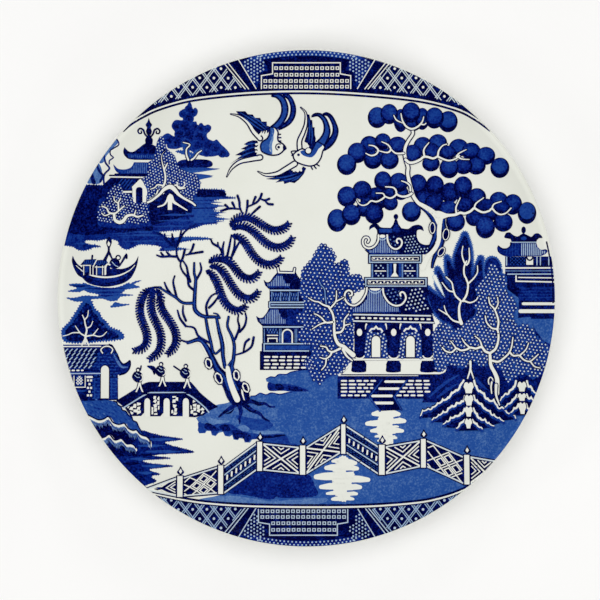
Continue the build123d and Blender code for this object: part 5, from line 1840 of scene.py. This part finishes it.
def willow_stems(m):
    """Twigs and stems."""
    for path in TWIGS:
        m.stroke(path, [0.7, 1.1, 1.2], 0.95, 0)
    stems = [([(-79.5, 6), (-76, 3.8), (-70.5, 0.5), (-66.5, -2.4), (-60.6, -2.6)], [1.0, 1.4, 1.6]),
             ([(-60.5, 19), (-60.5, 13.5), (-59.7, 10), (-60.2, 2), (-60.3, -5), (-58.5, -8), (-55, -9.8),
               (-49.5, -10), (-47, -10.4)], [1.0, 1.8, 2.2, 1.4]),
             ([(-46.8, -10.6), (-48, -8.6), (-50, -8)], [1.0, 0.6]),
             ([(-54.5, -9.6), (-53, -18), (-51.5, -24), (-50.5, -29)], [1.4, 1.8, 1.4]),
             ([(-48.6, -10), (-47, -18), (-45.5, -24), (-45, -31), (-44, -37)], [1.4, 2.2, 1.8]),
             ([(-42, -10), (-42.6, -15), (-40.4, -20), (-39, -25), (-39.3, -32), (-40.5, -38), (-40, -43),
               (-37, -49)], [1.2, 1.6, 2.0, 2.6]),
             ([(-50.5, -28), (-49, -29.8), (-46.4, -27.6)], [1.0, 1.2]),
             ([(-44.5, -35), (-43, -37), (-40, -33.4)], [1.2, 1.2]),
             ([(-64, -24), (-58, -22.4), (-54, -26), (-51, -32), (-48, -38), (-44.5, -42.4), (-41.6, -49)],
              [1.4, 2.6, 3.8, 5.4]),
             ([(-40.4, -36), (-38.6, -42), (-35.6, -48), (-32.6, -54)], [1.6, 2.8, 4.2])]
    for path, width in stems:
        m.stroke(path, width, 0.97, 1)
        m.stroke(path, np.array(width) * 0.34, 0.66, 2)


def willow_foot(m):
    """Foot of the trunk, its lights and knots."""
    m.patch([(-46.4, -44), (-42, -46.6), (-39.6, -43.6), (-36, -45), (-33, -44.6), (-31.8, -48),
             (-30.8, -52.6), (-33, -56.4), (-36.4, -57.6), (-40, -57), (-42.6, -54), (-44.6, -49)], 0.96, 2)
    m.strokes((([(-61.4, -24.4), (-57.6, -24), (-55, -28), (-52, -33.6)], [0.3, 0.9, 0.5]),
               ([(-46, -13), (-44.6, -20), (-43.4, -26), (-42.6, -32)], [0.3, 1.1, 0.4]),
               ([(-51, -12), (-50, -18), (-48.6, -24)], [0.3, 1.0, 0.3]),
               ([(-35, -47), (-34.6, -51), (-33.6, -54.6)], [0.4, 1.0, 0.5])), BARE, 3)
    m.patch([(-43.4, -36.6), (-41.6, -37), (-40.2, -43), (-38, -49), (-35.8, -54.6), (-38.4, -55.6),
             (-41.4, -48.6), (-43.2, -42)], BARE, 3)
    for knot in ((-52.8, -35, 1.5, 2.6, 15), (-47.4, -43, 1.6, 3.0, 25), (-37.8, -41.4, 1.4, 2.6, 10),
                 (-32.8, -48, 1.4, 2.6, 25)):
        tree_knot(m, *knot, ((0.9, NAVY, 4), (0.3, BARE, 5), (-0.4, NAVY, 6)), rough=True)


def willow_fronds(m):
    """Hanging fronds."""
    for path in FRONDS:
        frond(m, path)


def bridge_deck(m):
    """Deck, arches and piers."""
    deck_top = curve([(-102.4, -55), (-97, -51.7), (-91, -48), (-87.5, -45.8), (-84.6, -44.9)])
    far_top = curve([(-62.4, -44.9), (-59.6, -48), (-57, -51), (-52, -55.2), (-47.6, -58.4)])
    near_low = curve([(-52.4, -60.4), (-55, -57.4), (-60, -53.2), (-64, -50.6), (-66.4, -49.8)])
    far_low = curve([(-84.6, -49.8), (-88, -51.2), (-93, -54.2), (-98.8, -57.8)])
    m.fill(np.vstack([deck_top, far_top, near_low, far_low]), NAVY, 3)
    m.fill(np.vstack([[(-101.5, -57.5)], far_low[::-1], near_low[::-1],
                      [(-52, -60.4), (-55.6, -63), (-60, -64), (-63.3, -63.8), (-63.3, -56), (-66.7, -56),
                       (-66.7, -63.4), (-73.6, -63.4), (-73.6, -56), (-77, -56), (-77, -61.4), (-78.6, -63.4),
                       (-84.1, -63.4), (-84.1, -56), (-87.3, -56), (-87.3, -61.4), (-89, -63.2),
                       (-94.6, -63.2), (-97.6, -58.8)]]), NAVY, 2)
    m.line(np.vstack([far_low[::-1] - (-0.6, 0.9), near_low[::-1] - (0.2, 0.9)]), 0.7, PALE, 4)
    for x0, x1 in ((-87.2, -84.2), (-76.9, -73.7), (-66.6, -63.4)):
        centre = (x0 + x1) / 2
        m.fill(np.vstack([[(x0, -64)], arc(centre, -55.6, (x1 - x0) / 2, 180, 0, ry=1.9), [(x1, -64)]])[::-1],
               BARE, 4)


def bridge_rubble(m):
    """Rubble in the piers: bare shards in dark mortar."""
    fields = [[(-96.4, -58.4), (-93, -56.2), (-88.4, -53.4), (-88.2, -61), (-89.4, -62.4), (-94, -62.4)],
              [(-83.4, -52.6), (-79.2, -52.6), (-79.2, -62.6), (-83.4, -62.6)],
              [(-72.8, -52.6), (-69.2, -52.6), (-69.2, -62.6), (-72.8, -62.6)],
              [(-62.6, -53.6), (-60.4, -55), (-54, -60.6), (-56.4, -62.2), (-62.4, -63.2)]]
    rng = random.Random(5)
    for i, field in enumerate(fields):
        outline = np.array(field)
        for x, y in lattice(outline[::-1], 2.35, 35, 0.2, seed=i, margin=-0.7):
            corners = [math.radians(k * 90 + rng.uniform(-28, 28)) for k in range(4)]
            shard = [(rng.uniform(1.05, 1.55) * math.cos(a),
                      rng.uniform(0.95, 1.35) * math.sin(a)) for a in corners]
            m.fill(move(shard, x, y, turn=rng.uniform(20, 60)), BARE, 4, within=outline)
    m.line([(-88.6, -51.4), (-63, -51.2)], 0.5, NAVY, 5)


def bridge_walkers(m):
    """Three small walkers in robes."""
    for x, y in ((-91, -42), (-78.7, -39), (-65.4, -40)):
        m.patch([(x - 2.9, y), (x - 1.6, y + 2.4), (x + 0.6, y + 2.8), (x + 2.6, y + 1.2),
                 (x + 2.8, y - 1.2), (x + 2.2, y - 3), (x - 0.2, y - 3.2), (x - 2, y - 2)], NAVY, 4)
        m.line(arc(x + 0.8, y - 0.6, 2.0, -70, 50), 0.5, BARE, 5)
        m.dot(x + 0.4, y + 3.6, 1.25, NAVY, 5)
        m.dot(x + 0.3, y + 3.4, 0.65, BARE, 6)
        m.lines([[(x - 1.4, y + 0.6), (x, y - 0.6), (x + 1.2, y - 0.4)],
                 [(x - 0.6, y + 1.8), (x + 0.8, y + 1)]], 0.35, PALE, 6)
        for side in (-1.6, 2.2):
            leg = curve([(x + 1.2, y - 3), (x + 1 + side * 0.4, y - 6), (x + 0.8 + side, y - 8.6)])
            m.line(leg, [1.7, 1.5, 1.3], NAVY, 3)
            m.line(leg, [0.9, 0.8, 0.7], BARE, 4)
            m.line([(x + 0.4 + side, y - 8.8), (x + 2 + side, y - 8.9)], 0.8, NAVY, 4)
    m.fill(curve([(-86, -36.4), (-82.4, -36.4), (-80.8, -38.6), (-82, -41.2), (-83.2, -38.8)], closed=True),
           0.94, 5)
    m.line([(-89.4, -38.6), (-89, -36.4)], 0.6, NAVY, 5)
    m.line([(-71.4, -36.6), (-67, -39.6)], 0.7, NAVY, 5)
    m.line([(-81.4, -38.4), (-80, -39.6)], 0.6, NAVY, 5)


def pavilion_fir(m):
    """Fir-like tree on its roof ridge."""
    fir = curve([(-118, 0.4), (-115.3, -1.5), (-113.8, -5.5), (-111.3, -7.5), (-110, -10.5), (-107.5, -12.5),
                 (-105.5, -15.5), (-100.5, -17.5), (-98.4, -20), (-99.2, -21.9), (-112, -23.3), (-120, -23.9),
                 (-128, -23.6), (-130.7, -22), (-131.4, -18), (-130, -15.5), (-126.5, -11.5), (-123, -6),
                 (-120.5, -2)], closed=True, step=1)
    m.fill(ragged(fir[::-1], 0.9, 1.5, 7), 0.62)
    m.fill(ragged(move(fir, -118, -14, 0.86) + (118 * 0.86, 14 * 0.86 - 0.8), 0.7, 1.4, 3)[::-1], 0.97, 1)
    m.dots(lattice(fir[::-1], 3.4, 20, 0.8, margin=2.4), 0.6, 0.72, 2)
    for path, width in (([(-118.8, -23.4), (-118.6, -20), (-118, -17), (-118.8, -14), (-119.2, -11.5),
                          (-120.3, -9)], [1.6, 1.0, 0.6]),
                        ([(-119.2, -11.6), (-117.6, -9.6), (-117.2, -6.6)], [0.8, 0.5]),
                        ([(-118, -16), (-116, -15), (-114.8, -12.3)], [0.8, 0.5]),
                        ([(-119.3, -20), (-121.5, -18.5), (-124, -14.8)], [1.0, 0.5]),
                        ([(-122, -18.4), (-125.5, -18.5), (-128, -19.6), (-130.6, -20.2)], [0.8, 0.5]),
                        ([(-118.5, -20.4), (-114.5, -19.8), (-112, -20.5), (-109.5, -20), (-107.5, -18)],
                         [1.0, 0.5]), ([(-114.6, -19.6), (-112, -16.3)], [0.8, 0.5]),
                        ([(-120.5, -25), (-119, -22)], [1.0, 1.2]),
                        ([(-117, -25), (-118.4, -22)], [1.0, 1.2])):
        m.stroke(path, np.array(width) * 0.8, BARE, 3)


def pavilion_roof(m):
    """Roof with a curling end."""
    roof = np.vstack([[(-134, -24.8), (-106, -24.8)],
                      curve([(-104.6, -25.4), (-103, -28), (-101.5, -31), (-100.4, -33.6), (-98.6, -35.4),
                             (-96.4, -34.6), (-95.1, -33.6), (-94.9, -36), (-95.8, -38.4), (-97.6, -40.2),
                             (-100.4, -41.1)]), [(-106, -41.2), (-134, -41.2)]])
    m.fill(roof, 0.84)
    m.line(roof[1:-2], 0.7, NAVY, 1)
    m.stroke([(-103.8, -29.6), (-101.8, -33.6), (-99.4, -36.8), (-96.4, -37)], [0.3, 1.4, 0.6], 0.4, 2)
    tiles = np.array([(-131, -27), (-111.4, -27), (-112.4, -32), (-115, -37.4), (-129, -37.4)])
    m.fill(tiles, 0.97, 1)
    for x, y in lattice(tiles[::-1], 2.5, 0, 0.1, margin=0.6):
        m.line(move([(-0.7, -0.7), (0.7, 0.7)], x, y), 0.55, PALE, 2)
    m.line([(-134, -25.8), (-110.6, -25.8)], 0.6, BARE, 2)
    m.vein(curve([(-109.6, -29.4), (-110.5, -27.6), (-108.6, -25.9), (-106, -25.9), (-104.2, -27.5),
                  (-105, -29.4)]), 0.6, 0.35, layer=3)
    m.line([(-129, -38.6), (-112, -38.7)], 0.9, NAVY, 2)
    m.dashes((-128, -38.6), (-118.6, -38.6), 1.6, 0.7, 0.8, BARE, 3)
    m.line([(-127.4, -40.3), (-107, -40.3)], 0.55, PALE, 3)


def pavilion_walls(m):
    """Walls, window and door."""
    m.fill(np.array([(-134, -41), (-101.4, -41), (-101.2, -54.6), (-121, -55), (-134, -55)]), 0.95)
    m.fill(box(-123.4, -46.6, -120, -41.6), 0.7, 1)
    m.crosshatch(box(-123.4, -46.6, -120, -41.6), 1.1, 0.35, BARE)
    for x in (-124.6, -118.7):
        m.line([(x, -41.6), (x, -47.6)], 0.45, BARE, 2)
    m.line([(-124.8, -47.6), (-118.6, -47.6)], 0.5, BARE, 2)
    m.line([(-123.6, -49.6), (-119, -49.6)], 0.9, BLUE, 2)
    m.line([(-117.6, -42.2), (-115.2, -42.2)], 1.1, BARE, 2)
    for i, y in enumerate((-44, -46, -48, -50, -52)):
        for x in ((-117.2, -115.6), (-116.4,))[i % 2]:
            m.fill(box(x - 0.55, y - 0.55, x + 0.55, y + 0.55), BARE, 2)
    for x0, x1 in ((-114.8, -110.9), (-106, -101.6)):
        m.fill(box(x0, -54, x1, -42.6), 0.8, 1)
        m.line([(x0 + 1.2, -53.4), (x0 + 1.2, -43)], 0.5, 0.6, 2)
    for x, y in lattice(box(-114.6, -53.6, -101.8, -29.6), 2.4, 0, 0.2, seed=6, aspect=0.7):
        m.line([(x - 0.6, y), (x + 0.6, y)], 0.55, 0.6, 2)
    door = np.vstack([[(-110.4, -53.6)], arc(-108.3, -38.4, 2.1, 180, 0, ry=2.3), [(-106.2, -53.6)]])[::-1]
    m.line(door, 0.9, NAVY, 2, closed=True)
    m.fill(door, BARE, 3)


def fringed_crest(m, crest, layer, seed):
    """A bare crest that breaks into short strokes down a dark slope."""
    rng = random.Random(seed)
    m.line(crest - (0, 1.2), [1.4, 2.4, 2.4, 2.2, 1.5], BARE, layer)
    points, _ = resample(crest, 0.75)
    for x, y in points[1:-1]:
        length = rng.uniform(1.4, 3.0)
        m.line([(x, y - 2.0), (x + 0.4, y - 2.0 - length)], [0.8, 0.1], SKY, layer + 1)
    for x, y in points[1:-1] + (0.35, 0):
        length = rng.uniform(0.3, 1.3)
        m.line([(x, y - 2.8), (x - 0.2, y - 2.6 + length)], [0.5, 0.1], 0.8, layer + 2)
    m.line(crest, 0.55, NAVY, layer + 3)


def bank_slopes(m):
    """Slopes under two fringed crests."""
    upper = curve([(-134, -54), (-119.5, -54.3), (-115, -53.7), (-109.6, -53.9), (-106.3, -54.7),
                   (-102.4, -55.5), (-101.3, -57.2), (-99.7, -58.2), (-98.9, -60), (-97.1, -60.6),
                   (-95.6, -62.8), (-94, -63.6), (-93.2, -65.6), (-91.3, -66.6), (-90.1, -69.2),
                   (-88.4, -72)])
    crest = curve([(-118.6, -61.6), (-116.7, -62.6), (-114, -64), (-111.2, -65.1), (-108.5, -64.5),
                   (-106.6, -63.3), (-105.2, -64.5), (-103.8, -66.5), (-100.8, -67.6), (-98, -67),
                   (-97, -68.1), (-95.3, -70), (-93.1, -70.9), (-91.4, -70.6), (-89.8, -72.5),
                   (-88.1, -73.6), (-86, -74.2), (-84.3, -76), (-84, -78.2)])
    low_crest = curve([(-111.5, -75.4), (-109.6, -74.7), (-108, -74.2), (-106, -72.8), (-104.9, -73.6),
                       (-103, -75.8), (-100.8, -75.5), (-99.4, -75), (-98, -76.4), (-96.4, -78), (-94.2, -78),
                       (-92.5, -78.8), (-91.7, -80.2)])
    bank = np.vstack([upper, crest[crest[:, 0] < -88][::-1]])
    m.fill(bank, 0.58, 1)
    m.stipple(bank, 2.2, 0.7, 2, 1.8, 1.0, turn=-35)
    m.stipple(bank, 3.0, WASH, 3, 1.6, 0.9, turn=-35, seed=4)
    m.line(upper[upper[:, 0] > -104], 0.5, NAVY, 4)
    m.fill(np.vstack([crest, low_crest[::-1], [(-116.5, -70)]]), NAVY, 1)
    m.fill(np.vstack([low_crest, curve([(-91.7, -80.2), (-92, -82.5), (-96, -84), (-101, -83.5),
                                        (-106, -84.4)]), [(-112, -78)]]), 0.97, 2)
    fringed_crest(m, crest, 3, 1)
    fringed_crest(m, low_crest, 3, 2)


def bank_water(m):
    """Water in front."""
    water = np.vstack([curve([(-108, -80), (-100, -79), (-93, -77), (-88.8, -71.2), (-83.7, -72.3),
                              (-78, -73.8), (-66.5, -75.7), (-76, -77.2),
                              (-73, -79), (-68, -80.3), (-60.5, -82.8), (-75, -83.6), (-83, -84.3),
                              (-73, -85.8), (-83, -86.5), (-88, -87), (-84, -88.5), (-71.5, -90),
                              (-84, -91.5), (-83, -92.7), (-78.5, -94.3), (-82.5, -95), (-83, -96.2),
                              (-80.5, -98), (-86, -100)]), arc(0, 0, 136, 229, 216, step=3)])
    m.fill(ragged(water[::-1], 0.6, 1.2, 6), BLUE, -1)
    m.fill(water, 0.86, 1)
    m.streaks([(-75.6, -87, -70), (-82.2, -86, -66), (-89.8, -88, -75), (-79, -90, -76), (-86, -94, -84),
               (-93.4, -90, -82)], [0.8, 1.8, 0], 0.62, 2, rise=-0.2)
    m.streaks([(-84, -100, -80), (-88.4, -98, -88), (-80.4, -100, -90)], [0.6, 1.4, 0], NAVY, 2)


# Printed pieces from back to front: name, lowest layer, and what draws their parts
MOTIFS = [
    ("lake", 0, [lake_water, lake_gleams]),
    ("willow_bank", 2, [willow_ground, willow_roots]),
    ("zigzag_fence", 6, [fence]),
    ("lace_tree_left", 4, [left_lace_tree]),
    ("small_pagoda", 2, [small_upper_roof, small_upper_storey, small_lower_roof, small_ground_storey,
                         small_terrace]),
    ("right_pavilion", 3, [right_pavilion_roofs, right_pavilion_walls]),
    ("broadleaf_trees", 2, [broadleaf_trees]),
    ("lace_tree_right", 4, [right_ground, right_crown]),
    ("waterside_hills", 12, [hills]),
    ("main_pagoda", 4, [main_ridge, main_upper_roof, main_eaves, main_upper_storey, main_lower_roof,
                        main_band, main_ground_storey, main_plinth, main_terrace]),
    ("fruit_tree", 1, [fruit_balls, fruit_trunk, fruit_branches]),
    ("two_birds", 4, [bird_plumes, bird_bodies, bird_faces, bird_wings]),
    ("left_island", 3, [island_land, island_cliffs, far_hall_roofs, far_hall_gateway, island_bushes,
                        island_hills, cloud_tree]),
    ("river_boat", 4, [boat_hull, boat_mast, boat_ripples]),
    ("left_pavilion", 2, [pavilion_fir, pavilion_roof, pavilion_walls]),
    ("left_bank", 1, [bank_slopes, bank_water]),
    ("bridge", 4, [bridge_deck, bridge_rubble, bridge_walkers]),
    ("willow", 14, [willow_stems, willow_foot, willow_fronds]),
]


# ---- Stage, light and camera -----------------------------------------------------------------

VIEW_WIDTH = 0.3212  # what the picture takes in, at the height of the rim
VIEW_CENTRE = (-0.0036, -0.0009)
CAMERA_HEIGHT = 3.0
SENSOR = 36.0


def area_light(name, size, power, place, in_gloss=True):
    """A square softbox that faces the plate."""
    light = bpy.data.lights.new(name, "AREA")
    light.shape = "SQUARE"
    light.size = size
    light.energy = power
    lamp = bpy.data.objects.new(name, light)
    lamp.location = place
    plate_centre = Vector((0, 0, 0))
    lamp.rotation_euler = (plate_centre - Vector(place)).to_track_quat("-Z", "Y").to_euler()
    lamp.visible_glossy = in_gloss
    bpy.context.scene.collection.objects.link(lamp)


def build_stage():
    """A pale floor, soft light all round, and a camera straight above."""
    reach = 4.0
    mesh = bpy.data.meshes.new("studio_floor")
    mesh.from_pydata([(-reach, -reach, 0), (reach, -reach, 0), (reach, reach, 0), (-reach, reach, 0)],
                     [], [(0, 1, 2, 3)])
    mesh.materials.append(studio_floor())
    floor = bpy.data.objects.new("studio_floor", mesh)
    bpy.context.scene.collection.objects.link(floor)

    world = bpy.data.worlds.new("studio_air")
    world.use_nodes = True
    background = world.node_tree.nodes["Background"]
    background.inputs["Color"].default_value = (0.98, 0.97, 0.94, 1.0)
    background.inputs["Strength"].default_value = 0.45
    world.cycles_visibility.glossy = False
    bpy.context.scene.world = world
    area_light("overhead_softbox", size=3.0, power=44, place=(0, 0, 2.4), in_gloss=False)
    ring_r, ring_z = 1.7, 0.74
    for i in range(3):
        a = math.radians(75 + 120 * i)
        place = (ring_r * math.cos(a), ring_r * math.sin(a), ring_z)
        area_light(f"side_softbox_{i + 1}", size=0.3, power=2.5, place=place)

    data = bpy.data.cameras.new("camera")
    data.sensor_width = SENSOR
    data.lens = SENSOR * (CAMERA_HEIGHT - PLATE_H * MM) / VIEW_WIDTH
    data.clip_end = 20.0
    camera = bpy.data.objects.new("camera", data)
    camera.location = (*VIEW_CENTRE, CAMERA_HEIGHT)
    bpy.context.scene.collection.objects.link(camera)
    bpy.context.scene.camera = camera
    bpy.context.scene.view_settings.view_transform = "Standard"


def main():
    """Builds the plate, its print and the stage."""
    build_plate()
    draw_borders()
    for name, lowest_layer, parts in MOTIFS:
        m = Motif(name, lowest_layer)
        for part in parts:
            part(m)
        m.build()
    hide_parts("scene_print")
    build_stage()


main()
